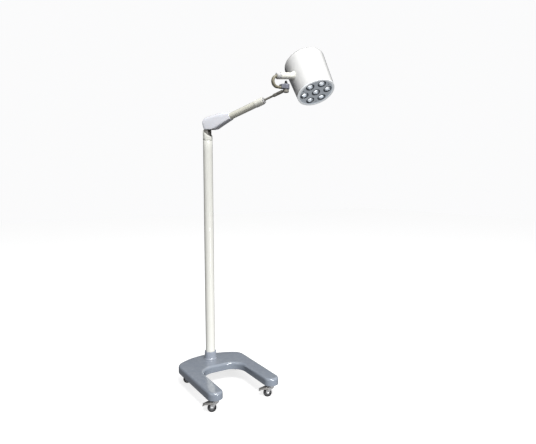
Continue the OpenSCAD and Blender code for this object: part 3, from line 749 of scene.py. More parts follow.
def caster_hub(code, place, body):
    """Boss, dished web and rim with six ribs."""
    half = [(4.08, 12.0), (8.4, 12.0), (9.0, 11.4), (9.2, 5.4), (10.2, 4.6), (12.6, 4.6),
            (13.6, 5.2), (14.2, 6.6), (16.3, 7.1), (16.9, 6.6)]
    rib = [(8.5, -1.2), (14.4, -0.9), (14.4, 0.9), (8.5, 1.2)]
    mesh = lathe(bmesh.new(), mirrored(half), 64, "y", AXLE, closed=True)
    for k in range(6):
        part = plate(bmesh.new(), rib, -6.2, 6.2, bevel=0.35, steps=1)
        turn = Matrix.Rotation(math.radians(60 * k + 20), 4, "Y")
        merge(mesh, part, Matrix.Translation(AXLE) @ turn)
    commit("caster_%s_hub" % code, mesh, place, body, "hub_plastic", "hub_moulding",
           code + "_wheel")


def caster_tyre(code, place, body):
    """Tyre with rounded shoulders and a moulding line round the middle."""
    half = [(17.0, 6.8), (17.3, 8.3), (18.2, 8.9), (20.4, 8.9)]
    for k in range(1, 8):
        angle = math.radians(90 - 90 * k / 8)
        half.append((20.6 + 4.15 * math.cos(angle), 4.8 + 4.1 * math.sin(angle)))
    half += [(24.85, 4.3), (24.97, 2.2), (WHEEL_RADIUS, 0.35), (24.9, 0.12)]
    mesh = lathe(bmesh.new(), mirrored(half), 96, "y", AXLE, closed=True)
    commit("caster_%s_tyre" % code, mesh, place, body, "tyre_rubber", "tyre_rubber",
           code + "_tyre")


def brake_lever(code, place, body):
    """Dished tread with grip ribs, two pivoted cheeks and a shoe over the tyre."""
    tread = [(26, 60.6), (40, 54.4), (60, 45.4), (72, 39.6), (75.4, 38.2), (76, 39.6),
             (74.5, 42.0), (62, 47.9), (42, 56.9), (27.5, 63.4), (25.8, 62.6)]
    slope_x, slope_z = 52 / 57.06, -23.5 / 57.06   # direction down the tread
    rib_pitch = 5.2
    pivot_x, pivot_z = 20, 51
    pivot = (pivot_x, 0, pivot_z)
    mesh = bmesh.new()
    plate(mesh, tread, -18.9, 18.9, bevel=0.9, min_angle=40)
    for k in range(4):
        x, z = 54 + rib_pitch * k * slope_x, 51.35 + rib_pitch * k * slope_z
        rib = plate(bmesh.new(), rounded_rect(1.9, 2.0, 0.7, 3), -14.5, 14.5,
                    bevel=0.3, steps=1, min_angle=60)
        tilt = Matrix.Rotation(math.atan2(-slope_z, slope_x), 4, "Y")
        merge(mesh, rib, Matrix.Translation((x, 0, z)) @ tilt)
    cheek = ([(15.6, 53.0)] + arc(pivot_x, pivot_z, 5.0, 8, 200, 300)
             + [(44, 47.4), (58, 45.6), (52, 51.5), (27, 62.6), (22, 59.5)])
    for s in SIDES:
        plate(mesh, cheek, s * 17.5 - 1.4, s * 17.5 + 1.4, bevel=0.6, min_angle=40)
        pin = [(0, s * 12.8), (2.2, s * 12.8), (2.45, s * 13.1), (2.45, s * 17), (0, s * 17)]
        lathe(mesh, pin, 20, "y", pivot)
        head = [(0, s * 19.0), (3.1, s * 19.0), (3.4, s * 18.7), (3.4, s * 18.2),
                (0, s * 18.2)]
        lathe(mesh, head, 24, "y", pivot)
    shoe = ([(27.3, 51.2)] + arc(TRAIL, WHEEL_RADIUS, WHEEL_RADIUS + 1, 6, 80, 50)
            + [(44.6, 51.0), (28, 60.0)])
    plate(mesh, shoe, -8, 8, bevel=0.3, steps=1, min_angle=50)
    commit("caster_%s_brake_lever" % code, mesh, place, body, "lever_steel", "lever_plated",
           code + "_brake")


def casters():
    for code, name in CASTERS:
        place = caster_frame(name)
        caster_fork(code, place, name + "_swivel")
        caster_axle(code, place, name + "_swivel")
        caster_hub(code, place, name + "_wheel")
        caster_tyre(code, place, name + "_wheel")
        if code in BRAKED:
            brake_lever(code, place, name + "_brake")


# ---------------------------------------------------------------- turret
def turret_sleeve():
    """Tube above the column; its mouth slopes down towards the arm."""
    # (radius, fraction of the height from the foot to the mouth)
    profile = [(27.3, 0.0), (29.4, 0.0), (30.0, 0.02), (30.0, 0.3), (30.0, 0.6),
               (30.0, 0.97), (29.6, 0.993), (28.9, 1.0), (26.9, 1.0), (26.2, 0.985),
               (26.2, 0.6), (26.2, 0.35), (26.2, 0.02)]
    foot = COLUMN_TOP + 1.8

    def stretch(x, y, fraction):
        mouth = min(COLUMN_TOP + 63 - 0.75 * (x + 24), COLUMN_TOP + 71.5)
        return x, y, foot + (mouth - foot) * fraction

    mesh = lathe(bmesh.new(), profile, 96, closed=True, warp=stretch)
    commit("turret_sleeve_skin", mesh, TURRET, "turret", "column_paint",
           "cream_powder_coat", "turret_sleeve")


def elbow_clevis():
    """Stem inside the column, two ears for the elbow and a block between them."""
    top = COLUMN_TOP
    stem = [(0, top - 110), (18.4, top - 110), (18.9, top - 109), (18.95, top + 1),
            (25.0, top + 1.8), (25.9, top + 3), (25.9, top + 18), (24.5, top + 20.6),
            (12, top + 21.6), (0, top + 21.6)]
    ear = [(-15, top + 14), (15, top + 14)] + arc(0, top + 82, 15, 20, 0, 180)
    block = [(-11, top + 16), (11, top + 16), (11, top + 50), (8, top + 55), (-8, top + 55),
             (-11, top + 50)]
    mesh = lathe(bmesh.new(), stem)
    for s in SIDES:
        plate(mesh, ear, s * 17.5 - 3.4, s * 17.5 + 3.4, bevel=1.3, steps=3, min_angle=40)
    plate(mesh, block, -14.2, 14.2, bevel=1.5, min_angle=40)
    commit("elbow_clevis_skin", mesh, TURRET, "turret", "dark_casting", "dark_casting",
           "elbow_clevis")


# ---------------------------------------------------------------- elbow covers
def smooth_curve(table):
    """Smooth curve through (x, value) points that never overshoots them."""
    xs = np.array([row[0] for row in table], float)
    values = np.array([row[1] for row in table], float)
    slopes = np.zeros(len(xs))
    rise = np.diff(values) / np.diff(xs)
    slopes[0], slopes[-1] = rise[0], rise[-1]
    for i in range(1, len(xs) - 1):
        product = rise[i - 1] * rise[i]
        slopes[i] = 0 if product <= 0 else 2 * rise[i - 1] * rise[i] / (rise[i - 1] + rise[i])

    def curve(x):
        i = int(min(max(np.searchsorted(xs, x) - 1, 0), len(xs) - 2))
        span = xs[i + 1] - xs[i]
        t = (min(max(x, xs[0]), xs[-1]) - xs[i]) / span
        return (values[i] * (2 * t ** 3 - 3 * t ** 2 + 1)
                + slopes[i] * span * (t ** 3 - 2 * t ** 2 + t)
                + values[i + 1] * (-2 * t ** 3 + 3 * t ** 2)
                + slopes[i + 1] * span * (t ** 3 - t ** 2))
    return curve


# (x, z) of the upper and lower edges, and (x, half width)
cover_top = smooth_curve([
    (-18.4, 28), (-17, 38), (-13, 46.5), (-6, 53.2), (8, 60.2), (30, 59.5), (70, 53.5),
    (109, 47.5), (150, 38.5), (183.8, 27.5)])
cover_bottom = smooth_curve([
    (-18.4, 2), (-17, -6), (-14, -12.4), (4, -21.6), (20, -28.2), (36, -34.6), (48, -35.8),
    (60, -35.2), (100, -29.8), (150, -23), (183.8, -19.6)])
cover_width = smooth_curve([
    (-18.4, 18), (-17, 22.5), (-13, 26), (-6, 27.7), (8, 28), (60, 28), (120, 26.6),
    (183.8, 23.6)])
COVER_END = 183.8
# x of each cross-section
COVER_STATIONS = [
    -18.4, -18.0, -17.2, -15.8, -13.6, -10.5, -6.5, -2, 4, 12, 20, 28, 36, 42, 48, 54,
    57, 60, 66, 75, 85, 96, 108, 120, 132, 144, 156, 168, 177, 181.5, 183.4, COVER_END]
# (x, z) below which the cover is open round the clevis
COVER_OPENING = [(-18.4, 7), (-15, 6), (4, -8), (36, -24), (57, -28)]
HALF_STEPS = 20        # faces in half a cross-section
SEAM = 0.18            # half the gap between the two covers
TUBE_HOLE_RADIUS = 20.15
END_SHRINK = 0.965     # softens the edge of the end wall
HALF_ANGLES = [math.pi / 2 - math.pi * k / HALF_STEPS for k in range(HALF_STEPS + 1)]


def cover_section(x, side):
    """Half of the outer section at x, from the top centre to the bottom centre."""
    top, bottom, width = cover_top(x), cover_bottom(x), cover_width(x)
    middle, half_height = (top + bottom) / 2, (top - bottom) / 2
    points = []
    for k, angle in enumerate(HALF_ANGLES):
        c, s = math.cos(angle), math.sin(angle)
        # rounder shoulders above, a crisper edge along the underside
        power = 3.4 - 0.8 * max(0, x - 120) / 64 if s >= 0 else 7.5
        y = 0.0 if k in (0, HALF_STEPS) else width * (abs(c) ** (2 / power))
        z = middle + half_height * (abs(s) ** (2 / power)) * (1 if s >= 0 else -1)
        if x == COVER_END:
            y = y * END_SHRINK if max(y, SEAM) > 0.3 else y
            z = middle + (z - middle) * END_SHRINK
        points.append((x, side * max(y, SEAM), z))
    return points


def cover_shell(side):
    """Outer skin of one cover, one face thick."""
    mesh = bmesh.new()
    flip = side > 0
    rows = [[mesh.verts.new(point) for point in cover_section(x, side)]
            for x in COVER_STATIONS]
    for i in range(len(rows) - 1):
        x = (COVER_STATIONS[i] + COVER_STATIONS[i + 1]) / 2
        limit_y = cover_width(x) * 0.93
        limit_z = np.interp(x, *zip(*COVER_OPENING))

        def is_open(quad):
            return (x < 57 and abs(sum(vert.co.y for vert in quad)) / 4 < limit_y
                    and sum(vert.co.z for vert in quad) / 4 < limit_z)

        bridge(mesh, rows[i], rows[i + 1], closed=False, flip=flip, skip=is_open)
    # nose: closes the first row down to where the underside opens
    nose = [mesh.verts.new((-18.75, side * SEAM, vert.co.z * 0.92 + 1.5)) for vert in rows[0]]
    bridge(mesh, rows[0], nose, closed=False, flip=not flip,
           skip=lambda quad: min(quad[0].co.z, quad[1].co.z) <= 6.5)
    loose = [vert for vert in mesh.verts if not vert.link_faces]
    bmesh.ops.delete(mesh, geom=loose, context="VERTS")
    # end wall with a short round hole for the tube
    hole = [mesh.verts.new((COVER_END, side * max(TUBE_HOLE_RADIUS * math.cos(a), SEAM),
                            TUBE_HOLE_RADIUS * math.sin(a))) for a in HALF_ANGLES]
    bridge(mesh, rows[-1], hole, closed=False, flip=flip)
    lip = [mesh.verts.new((COVER_END - 3, vert.co.y, vert.co.z)) for vert in hole]
    bridge(mesh, hole, lip, closed=False, flip=flip)
    bmesh.ops.remove_doubles(mesh, verts=mesh.verts, dist=0.02)
    bmesh.ops.recalc_face_normals(mesh, faces=mesh.faces)
    # the wall grows inwards, so the faces have to look outwards
    widest = max(mesh.faces, key=lambda face: abs(face.calc_center_median().y))
    if widest.normal.y * side < 0:
        bmesh.ops.reverse_faces(mesh, faces=mesh.faces)
    return mesh


def elbow_cover(side, name, node):
    obj = add_object(name, cover_shell(side), ARM)
    wall = obj.modifiers.new("wall", "SOLIDIFY")
    wall.thickness = 2.4 * MM
    wall.offset = -1
    wall.use_even_offset = False
    depsgraph = bpy.context.evaluated_depsgraph_get()
    solid = bpy.data.meshes.new_from_object(obj.evaluated_get(depsgraph))
    obj.modifiers.clear()
    obj.data = solid
    dress(obj, "arm", "cover_plastic", "cover_moulding", node, angle=40)


def elbow_cover_screws():
    mesh = bmesh.new()
    # (x, z, share of the cover's half width at which the screw sits)
    for x, z, share in ((96, 30, 0.985), (150, 24, 0.955)):
        for s in SIDES:
            w = cover_width(x) * share
            profile = [(0, s * (w - 0.6)), (1.0, s * (w - 0.6)), (1.35, s * (w + 0.35)),
                       (2.6, s * (w + 0.3)), (3.2, s * (w - 0.1)), (3.3, s * (w - 2.2)),
                       (0, s * (w - 2.2))]
            lathe(mesh, profile, 28, "y", (x, 0, z))
    commit("elbow_cover_screws", mesh, ARM, "arm", "screw_steel", "painted_screw",
           "cover_screws")


# ---------------------------------------------------------------- arm
def balance_spring():
    turns, steps, wire_radius, wire_sides = 5.5, 150, 1.15, 10
    coil_radius, axis_z = 6.9, 31
    start_x, length = 59.8, 26.4
    sections = []
    for k in range(steps + 1):
        angle = 2 * math.pi * turns * k / steps
        c, s = math.cos(angle), math.sin(angle)
        centre = Vector((start_x + length * k / steps, coil_radius * c,
                         axis_z + coil_radius * s))
        radial = Vector((0, c, s))
        along = Vector((length / (2 * math.pi * turns), -coil_radius * s, coil_radius * c))
        across = along.normalized().cross(radial).normalized()
        spokes = [2 * math.pi * n / wire_sides for n in range(wire_sides)]
        sections.append([centre + wire_radius * (math.cos(a) * radial + math.sin(a) * across)
                         for a in spokes])
    mesh = bmesh.new()
    sweep(mesh, sections)
    commit("balance_spring_coil", mesh, ARM, "arm", "spring_steel", "spring_steel",
           "balance_spring")


def arm_tube():
    profile = [(17.5, 64.4), (19.6, 64.4)]
    profile += [(20.0, x) for x in np.linspace(65, 393, 12)]
    profile += [(19.5, 393.6), (17.5, 393.6)]
    commit("arm_tube_skin", lathe(bmesh.new(), profile, 72, "x", closed=True), ARM,
           "arm", "arm_paint", "arm_powder_coat", "arm_tube")


def arm_collar():
    profile = [(20.1, 372.4), (21.2, 372.2), (22.0, 373.4, 1.0), (22.0, 379.4),
               (21.5, 379.8), (21.5, 380.8), (22.0, 381.2), (22.0, 421, 3),
               (20.9, 425.4, 1.5), (18.0, 425.9), (6.1, 425.9), (6.1, 400), (20.1, 394)]
    commit("arm_collar_skin", lathe(bmesh.new(), profile, 72, "x", closed=True), ARM,
           "arm", "collar_plastic", "collar_cream", "arm_collar")


def clamp_ring():
    """Ring with grooves cut in its outer face."""
    grooves, depth, inner_limit = 36, 0.7, 18.0
    profile = [(6.15, 426.3), (17.4, 426.4), (18.8, 427.2), (18.95, 430), (18.4, 432.4),
               (15.5, 433.0), (6.9, 433.0), (6.1, 432.6)]

    def knurl(x, y, z):
        radius = math.hypot(x, y)
        if radius < inner_limit:
            return x, y, z
        angle = math.atan2(y, x)
        cut = radius - depth * (0.5 + 0.5 * math.cos(grooves * angle)) ** 2
        return x * cut / radius, y * cut / radius, z

    mesh = lathe(bmesh.new(), profile, grooves * 4, "x", closed=True, warp=knurl)
    commit("clamp_ring_skin", mesh, ARM, "clamp_ring", "cap_plastic", "cap_moulding",
           "collar_ring")


def front_rod():
    """Rod with a guide plug inside the tube and a grooved end sleeve."""
    profile = [(0, 332), (17.3, 332), (17.4, 333), (17.4, 353.5), (16, 354)]
    profile += [(6, x) for x in np.linspace(354.2, 494, 8)]
    profile += [(6.2, 495.6), (8.8, 497.2), (9.5, 498.6), (9.5, 520), (9.1, 520.6),
                (9.1, 521.8), (9.5, 522.4), (9.5, 557), (8.8, 558.7), (6.4, 558.9),
                (6.0, 559.6), (6.0, 566.7), (0, 566.8)]
    commit("front_rod_skin", lathe(bmesh.new(), profile, 48, "x"), ARM,
           "rod", "rod_steel", "rod_satin", "arm_rod")


def rod_end_block():
    profile = [(0, -17), (13.0, -17, 1), (16, -14, 1), (16, 1.0, 0.8), (14.9, 2.1),
               (7.2, 2.1), (7.2, 1.4), (0, 1.4)]
    commit("rod_end_block", lathe(bmesh.new(), profile), SWIVEL,
           "rod", "gunmetal", "rod_satin", "rod_block")


def swivel_pin():
    """Pin, washer and domed nut."""
    pin = [(0, -9.9), (6.4, -9.9), (6.95, -9.3), (6.95, 31.6), (0, 31.6)]
    washer = [(6.0, 31.5), (12.2, 31.5), (12.6, 31.9, 0.3), (12.6, 33.3, 0.3),
              (12.2, 33.7), (6.0, 33.7)]
    dome_z = 44.4
    dome = [(7.3, 42.6), (7.2, dome_z)]
    for degrees in range(10, 90, 10):
        angle = math.radians(degrees)
        dome.append((7.1 * math.cos(angle), dome_z + 6.9 * math.sin(angle)))
    dome.append((0, 51.3))
    mesh = lathe(bmesh.new(), pin, 32)
    lathe(mesh, washer, 48, closed=True)
    plate(mesh, arc(0, 0, 8.6, 6, 10, 370), 33.7, 43.0, "xy", bevel=0.6, min_angle=30)
    lathe(mesh, dome, 32)
    commit("swivel_pin_and_nut", mesh, SWIVEL, "rod", "bright_steel", "black_oxide",
           "swivel_pin")


# ---------------------------------------------------------------- lamp bracket
BARREL_FOOT = 2.8
BOSS_X = -165.0   # reference for the bracket barrel and the lamp boss on the tilt axis


def swivel_barrel():
    """Barrel round the pin with a block on its -x side and two screw heads."""
    barrel = [(7.2, BARREL_FOOT), (18.6, BARREL_FOOT, 0.8), (20, 4.2, 0.8), (20, 29.4, 1.2),
              (18.4, 31.0, 1.2), (7.2, 31.0)]
    block = [(-37.9, -15), (-9, -15), (-9, 15), (-37.9, 15)]
    screw = [(0, 27.2), (3.3, 27.2), (3.3, 29.0), (2.7, 29.5), (1.7, 29.5), (1.6, 28.4),
             (0, 28.4)]
    mesh = lathe(bmesh.new(), barrel, closed=True)
    plate(mesh, block, BARREL_FOOT, 27.4, "xy", bevel=1.8, steps=3, min_angle=40)
    for y in (-8.5, 8.5):
        merge(mesh, lathe(bmesh.new(), screw, 20), Matrix.Translation((-28, y, 0)))
    commit("swivel_barrel_skin", mesh, SWIVEL, "bracket", "gunmetal", "blued_steel",
           "swivel_barrel")


def bracket_strap():
    """Strap that runs to -x from the block, bends up and back, and its foot plate."""
    start_x, bend_x, low_z = -38.1, -58.0, 9.6
    # the upper end lies on a line rising 6 degrees towards +x, 95 high at x = 165
    high_z = 95.0 - (165.0 - bend_x) * math.tan(math.radians(6))
    bend_radius = (high_z - low_z) / 2
    bend_z = low_z + bend_radius
    # (x, z, direction of the section's thickness in degrees)
    path = [(x, low_z, 270.0) for x in np.linspace(start_x, bend_x, 5)]
    for k in range(1, 31):
        degrees = 270 - 180 * k / 30
        angle = math.radians(degrees)
        path.append((bend_x + bend_radius * math.cos(angle),
                     bend_z + bend_radius * math.sin(angle), degrees))
    path.append((bend_x + 5.0, low_z + 2 * bend_radius + 0.5, 90.0))
    outline = rounded_rect(14, 22, 5.4, 6)
    sections = []
    for x, z, degrees in path:
        out_x, out_z = math.cos(math.radians(degrees)), math.sin(math.radians(degrees))
        sections.append([(x + u * out_x, v, z + u * out_z) for u, v in outline])
    mesh = bmesh.new()
    sweep(mesh, sections)
    foot = [(-11, BARREL_FOOT), (11, BARREL_FOOT), (11, 16.4), (-11, 16.4)]
    plate(mesh, foot, -41.2, start_x, "yz", bevel=0.8, min_angle=40)
    commit("lamp_bracket_strap", mesh, SWIVEL, "bracket", "bracket_paint", "bracket_cream_painted_shade",
           "head_bracket")


def bracket_barrel():
    profile = [(8.1, BOSS_X - 41.2), (17.6, BOSS_X - 41.2, 0.6), (19, BOSS_X - 42.5, 0.6),
               (19, BOSS_X - 62.0, 4.5), (14.5, BOSS_X - 67.7, 3), (0, BOSS_X - 67.9)]
    commit("lamp_bracket_barrel", lathe(bmesh.new(), profile, 64, "x"), TILT,
           "bracket", "bracket_paint", "cap_moulding")


# ---------------------------------------------------------------- lamp head
FACE_RADIUS, BACK_RIM_RADIUS = 112.0, 123.0   # housing radius at the face and at the dome
FACE_Z = -129.0
WALL_Z = FACE_Z + 7.0                         # front edge of the housing wall
DOME_Z, DOME_HEIGHT = 94.0, 47.0
PANEL_Z = FACE_Z + 5.0
CUP_PITCH, CUP_RADIUS = 70.0, 25.0
CUP_TURN = 28.0                               # turn of the ring of cups, degrees
CUPS = [(0.0, 0.0)] + arc(0, 0, CUP_PITCH, 6, CUP_TURN, CUP_TURN + 360)


def lamp_housing():
    def dome(shrink, steps):
        angles = [math.radians(90 * k / 24) for k in steps]
        return [((BACK_RIM_RADIUS - shrink) * math.cos(a),
                 DOME_Z + (DOME_HEIGHT - shrink) * math.sin(a)) for a in angles]

    edge = (FACE_RADIUS - 2.6, WALL_Z)
    outside = [edge, (FACE_RADIUS + 0.1, WALL_Z), (FACE_RADIUS + 0.55, FACE_Z + 7.6)]
    for z in np.linspace(FACE_Z + 14, DOME_Z - 10, 10):
        share = (z - WALL_Z) / (DOME_Z - WALL_Z)
        widening = (BACK_RIM_RADIUS - FACE_RADIUS - 0.4) * share
        outside.append((FACE_RADIUS + 0.4 + widening, z))
    outside += dome(0.15, range(25))
    inside = dome(3, range(24, -1, -3)) + [(FACE_RADIUS + 2.4, 0), edge]
    mesh = lathe(bmesh.new(), outside, 128)
    lathe(mesh, inside, 128)
    commit("lamp_housing", mesh, LAMP, "lamp", "lamp_white", "lamp_gloss_white",
           "head_shell")


def face_rim():
    radius = FACE_RADIUS
    profile = [(100, FACE_Z + 3.0), (100, FACE_Z + 0.4), (100.8, FACE_Z, 0.4),
               (radius - 2.2, FACE_Z, 1.0), (radius - 0.3, FACE_Z + 1.5, 1.2),
               (radius + 0.3, FACE_Z + 6.4), (radius - 0.1, FACE_Z + 6.9),
               (radius - 2.8, FACE_Z + 6.9), (radius - 2.8, FACE_Z + 18),
               (radius - 6, FACE_Z + 18), (radius - 6, FACE_Z + 4.4)]
    commit("face_rim", lathe(bmesh.new(), profile, 128, closed=True), LAMP,
           "lamp", "bezel_white", "bezel_white", "bezel")


def front_panel():
    holes = [arc(x, y, CUP_RADIUS - 1.2, 48) for x, y in CUPS]
    mesh = plate(bmesh.new(), arc(0, 0, 105, 128), PANEL_Z, PANEL_Z + 2.5, "xy", bevel=0,
                 holes=holes)
    commit("front_panel_skin", mesh, LAMP, "lamp", "panel_grey", "panel_blue_grey",
           "front_panel")


def at_cups(profile, segments, closed=False):
    """The same turned profile at every cup."""
    mesh = bmesh.new()
    for x, y in CUPS:
        lathe(mesh, profile, segments, at=(x, y, 0), closed=closed)
    return mesh


def reflector_cups():
    depth, lip_depth, throat = 26.0, 1.5, 8.2
    inside = []
    for k in range(11):
        share = k / 10
        inside.append((throat + (CUP_RADIUS - 3.1 - throat) * share,
                       PANEL_Z + depth - (depth - lip_depth) * (share ** 1.9)))
    outside = [(r + 0.9, z + 0.6) for r, z in reversed(inside)]
    commit("reflector_cups", at_cups(inside + outside, 56, closed=True), LAMP,
           "lamp", "reflector_mirror", "reflector_coat", "reflectors")


def reflector_rims():
    radius = CUP_RADIUS
    profile = [(radius - 3.4, PANEL_Z + 0.3), (radius - 2.8, PANEL_Z - 1.6),
               (radius - 1.6, PANEL_Z - 2.0, 0.5), (radius - 0.2, PANEL_Z - 1.4, 0.6),
               (radius, PANEL_Z - 0.05), (radius - 1.35, PANEL_Z + 0.3),
               (radius - 1.4, PANEL_Z + 2.4), (radius - 3.0, PANEL_Z + 2.4)]
    commit("reflector_rims", at_cups(profile, 64, closed=True), LAMP,
           "lamp", "reflector_mirror", "cup_rim_dark")


def cup_lenses():
    """Domed lens with a flange and a stub behind it."""
    profile = []
    for k in range(9):
        angle = math.radians(90 * k / 8)
        profile.append((11.0 * math.sin(angle), PANEL_Z + 3.2 + 7.0 * (1 - math.cos(angle))))
    profile += [(14.8, PANEL_Z + 10.6), (15.0, PANEL_Z + 12.2), (10.5, PANEL_Z + 13.0),
                (8.0, PANEL_Z + 16.0), (0, PANEL_Z + 16.0)]
    commit("cup_lenses", at_cups(profile, 40), LAMP, "lamp", "lens_clear", "lens_acrylic",
           "lenses")


def panel_screws():
    pitch_radius = 86
    profile = [(0, PANEL_Z - 1.0), (1.3, PANEL_Z - 1.0), (1.5, PANEL_Z - 2.0),
               (2.8, PANEL_Z - 2.1), (3.8, PANEL_Z - 1.3), (4.0, PANEL_Z - 0.05),
               (2.0, PANEL_Z + 0.05), (2.0, PANEL_Z + 38), (0, PANEL_Z + 38)]
    mesh = bmesh.new()
    for degrees in (30, 150, 270):
        angle = math.radians(degrees + CUP_TURN)
        at = (pitch_radius * math.cos(angle), pitch_radius * math.sin(angle), 0)
        lathe(mesh, profile, 32, at=at)
    commit("panel_screws", mesh, LAMP, "lamp", "screw_steel", "zinc_plated", "head_screws")


def lamp_boss():
    """Boss with a soft flare into the housing."""
    profile = [(8.1, BOSS_X - 40.4), (17.6, BOSS_X - 40.4, 0.6), (19, BOSS_X - 39.0, 0.8),
               (19, BOSS_X + 26), (19.4, BOSS_X + 34, 6), (21.5, BOSS_X + 42, 8),
               (25.5, BOSS_X + 48, 8), (30, BOSS_X + 52), (30, BOSS_X + 56),
               (8.1, BOSS_X + 56)]
    commit("lamp_boss_skin", lathe(bmesh.new(), profile, 72, "x", closed=True), TILT,
           "lamp", "boss_paint", "boss_coat", "head_boss")


def power_button():
    """Push button and its frame on the side wall of the housing."""
    def rotation(degrees, axis):
        return Matrix.Rotation(math.radians(degrees), 4, axis)

    # round the lamp, back from its centre, out to the wall, then leant to the wall's taper
    place = (LAMP @ rotation(153, "Z") @ Matrix.Translation((0, 0, 0.078))
             @ rotation(90, "Y") @ Matrix.Translation((0, 0, 0.1198))
             @ rotation(-2.8, "Y") @ rotation(90, "Z"))
    cap = plate(bmesh.new(), rounded_rect(15.6, 35.6, 7.2, 8), -8.0, 3.6, "xy", bevel=1.3,
                steps=3, min_angle=50)
    lathe(cap, [(0, 3.9), (2.0, 3.9), (2.6, 3.5), (0, 3.3)], 24, at=(0, 9.5, 0))
    commit("power_button_cap", cap, place, "button", "button_grey", "button_moulding",
           "power_button")
    rim = plate(bmesh.new(), rounded_rect(19.4, 39.4, 9.0, 8), -2.0, 3.0, "xy", bevel=0.7,
                min_angle=50, holes=[rounded_rect(16.4, 36.4, 7.6, 8)])
    commit("power_button_frame", rim, place, "lamp", "bezel_white", "joint_shadow")


# ---------------------------------------------------------------- stage, light, camera
CAMERA_AZIMUTH = math.radians(-31.45)
CAMERA_DIP = math.radians(5.03)
CAMERA_ROLL = math.radians(-0.12)
CAMERA_OFFSET = Vector((-1.2838, -2.8286, 1.2923))   # from the column's foot, metres
view_right = Vector((math.cos(CAMERA_AZIMUTH), math.sin(CAMERA_AZIMUTH), 0))
view_ahead = Vector((-math.sin(CAMERA_AZIMUTH), math.cos(CAMERA_AZIMUTH), 0))


def split_by_camera(net, seen, lit):
    """The camera sees one shader, every other ray the second."""
    camera_ray = net.add("LightPath").outputs["Is Camera Ray"]
    return net.add("MixShader", {0: camera_ray, 1: lit, 2: seen}).outputs[0]


def studio_floor():
    half = 14.0
    data = bpy.data.meshes.new("floor")
    corners = [(-half, -half, 0), (half, -half, 0), (half, half, 0), (-half, half, 0)]
    data.from_pydata(corners, [], [(0, 1, 2, 3)])
    floor = bpy.data.objects.new("floor", data)
    scene.collection.objects.link(floor)

    paint = bpy.data.materials.new("studio_floor")
    paint.use_nodes = True
    net = Nodes(paint.node_tree)
    lit = paint.node_tree.nodes["Principled BSDF"]
    net.set(lit, {"Base Color": (0.13, 0.13, 0.135, 1), "Roughness": 0.9,
                  "Specular IOR Level": 0.0})
    diffuse = net.add("BsdfDiffuse", {"Color": (0.45, 0.45, 0.45, 1)})
    glow = net.add("Emission", {"Color": (1, 1, 1, 1), "Strength": 0.74})
    seen = net.add("AddShader", {0: diffuse.outputs[0], 1: glow.outputs[0]})
    surface = split_by_camera(net, seen.outputs[0], lit.outputs[0])
    net.set(paint.node_tree.nodes["Material Output"], {"Surface": surface})
    data.materials.append(paint)


def studio_world():
    """Plain white to the camera; the light fades from high right-front to low left-back."""
    world = bpy.data.worlds.new("studio")
    scene.world = world
    world.use_nodes = True
    net = Nodes(world.node_tree)
    seen = net.add("Background", {0: (0.965, 0.965, 0.97, 1), 1: 1.0})
    brightest = (view_right * 0.60 + view_ahead * -0.42 + Vector((0, 0, 0.68))).normalized()
    direction = net.add("TexCoord").outputs["Generated"]
    dot = net.add("VectorMath", {0: direction, 1: brightest}, operation="DOT_PRODUCT")
    share = net.add("MapRange", {"Value": dot.outputs["Value"],
                                 "From Min": -1.0, "From Max": 1.0})
    ramp = net.add("ValToRGB", {"Fac": share.outputs["Result"]})
    ramp.color_ramp.interpolation = "EASE"
    stops = ramp.color_ramp.elements
    stops[0].position = 0.0
    stops[0].color = (0.07, 0.07, 0.075, 1)
    stops[1].position = 1.0
    stops[1].color = (1.0, 1.0, 1.0, 1)
    stops.new(0.45).color = (0.26, 0.265, 0.28, 1)
    stops.new(0.72).color = (0.85, 0.85, 0.85, 1)
    lit = world.node_tree.nodes["Background"]
    net.set(lit, {0: ramp.outputs["Color"], 1: 0.62})
    surface = split_by_camera(net, seen.outputs[0], lit.outputs[0])
    net.set(world.node_tree.nodes["World Output"], {"Surface": surface})


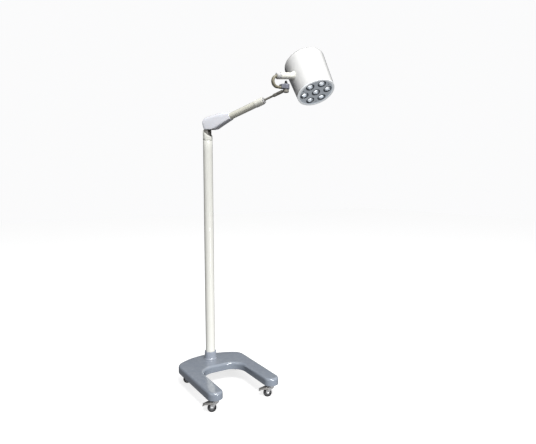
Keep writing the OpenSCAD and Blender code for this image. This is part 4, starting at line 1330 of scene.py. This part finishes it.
def area_light(name, right, front, up, target, size, power):
    """Square light, placed right of, in front of (towards the camera) and above the foot."""
    light = bpy.data.lights.new(name, "AREA")
    light.shape = "RECTANGLE"
    light.size = size
    light.size_y = size
    light.energy = power
    obj = bpy.data.objects.new(name, light)
    scene.collection.objects.link(obj)
    place = COLUMN + view_right * right - view_ahead * front + Vector((0, 0, up))
    obj.location = place
    obj.rotation_euler = (target - place).to_track_quat("-Z", "Y").to_euler()
    return light


def lights():
    middle = COLUMN + Vector((0.1, -0.25, 1.1))
    casters_middle = COLUMN + Vector((0.0, -0.35, 0.08))
    area_light("key", right=1.8, front=3.9, up=6.2, target=middle, size=2.4, power=430)
    area_light("top", right=0.2, front=0.4, up=6.5, target=middle, size=2.6, power=40)
    area_light("fill", right=-3.4, front=4.5, up=2.0, target=middle, size=2.4, power=40)
    low = area_light("low", right=1.9, front=2.5, up=0.45, target=casters_middle, size=0.6,
                     power=4)
    low.spread = math.radians(50)


def camera():
    data = bpy.data.cameras.new("camera")
    data.sensor_fit = "HORIZONTAL"
    data.sensor_width = 36.0
    data.lens = 32.3059701
    data.clip_end = 100
    obj = bpy.data.objects.new("camera", data)
    scene.collection.objects.link(obj)
    level = math.cos(CAMERA_DIP)
    ahead = Vector((-math.sin(CAMERA_AZIMUTH) * level, math.cos(CAMERA_AZIMUTH) * level,
                    -math.sin(CAMERA_DIP)))
    up = view_right.cross(ahead)
    c, s = math.cos(CAMERA_ROLL), math.sin(CAMERA_ROLL)
    obj.matrix_world = axes_at(COLUMN + CAMERA_OFFSET, view_right * c + up * s,
                               -view_right * s + up * c, -ahead)
    scene.camera = obj
    scene.view_settings.view_transform = "Standard"


# ---------------------------------------------------------------- build
dress_cad()
base_shell()
column_socket()
socket_grub_screws()
column()
casters()
turret_sleeve()
elbow_clevis()
elbow_cover(1, "elbow_cover_left", "cover_left")
elbow_cover(-1, "elbow_cover_right", "cover_right")
elbow_cover_screws()
balance_spring()
arm_tube()
arm_collar()
clamp_ring()
front_rod()
rod_end_block()
swivel_pin()
swivel_barrel()
bracket_strap()
bracket_barrel()
lamp_housing()
face_rim()
front_panel()
reflector_cups()
reflector_rims()
cup_lenses()
panel_screws()
lamp_boss()
power_button()
studio_floor()
studio_world()
lights()
camera()
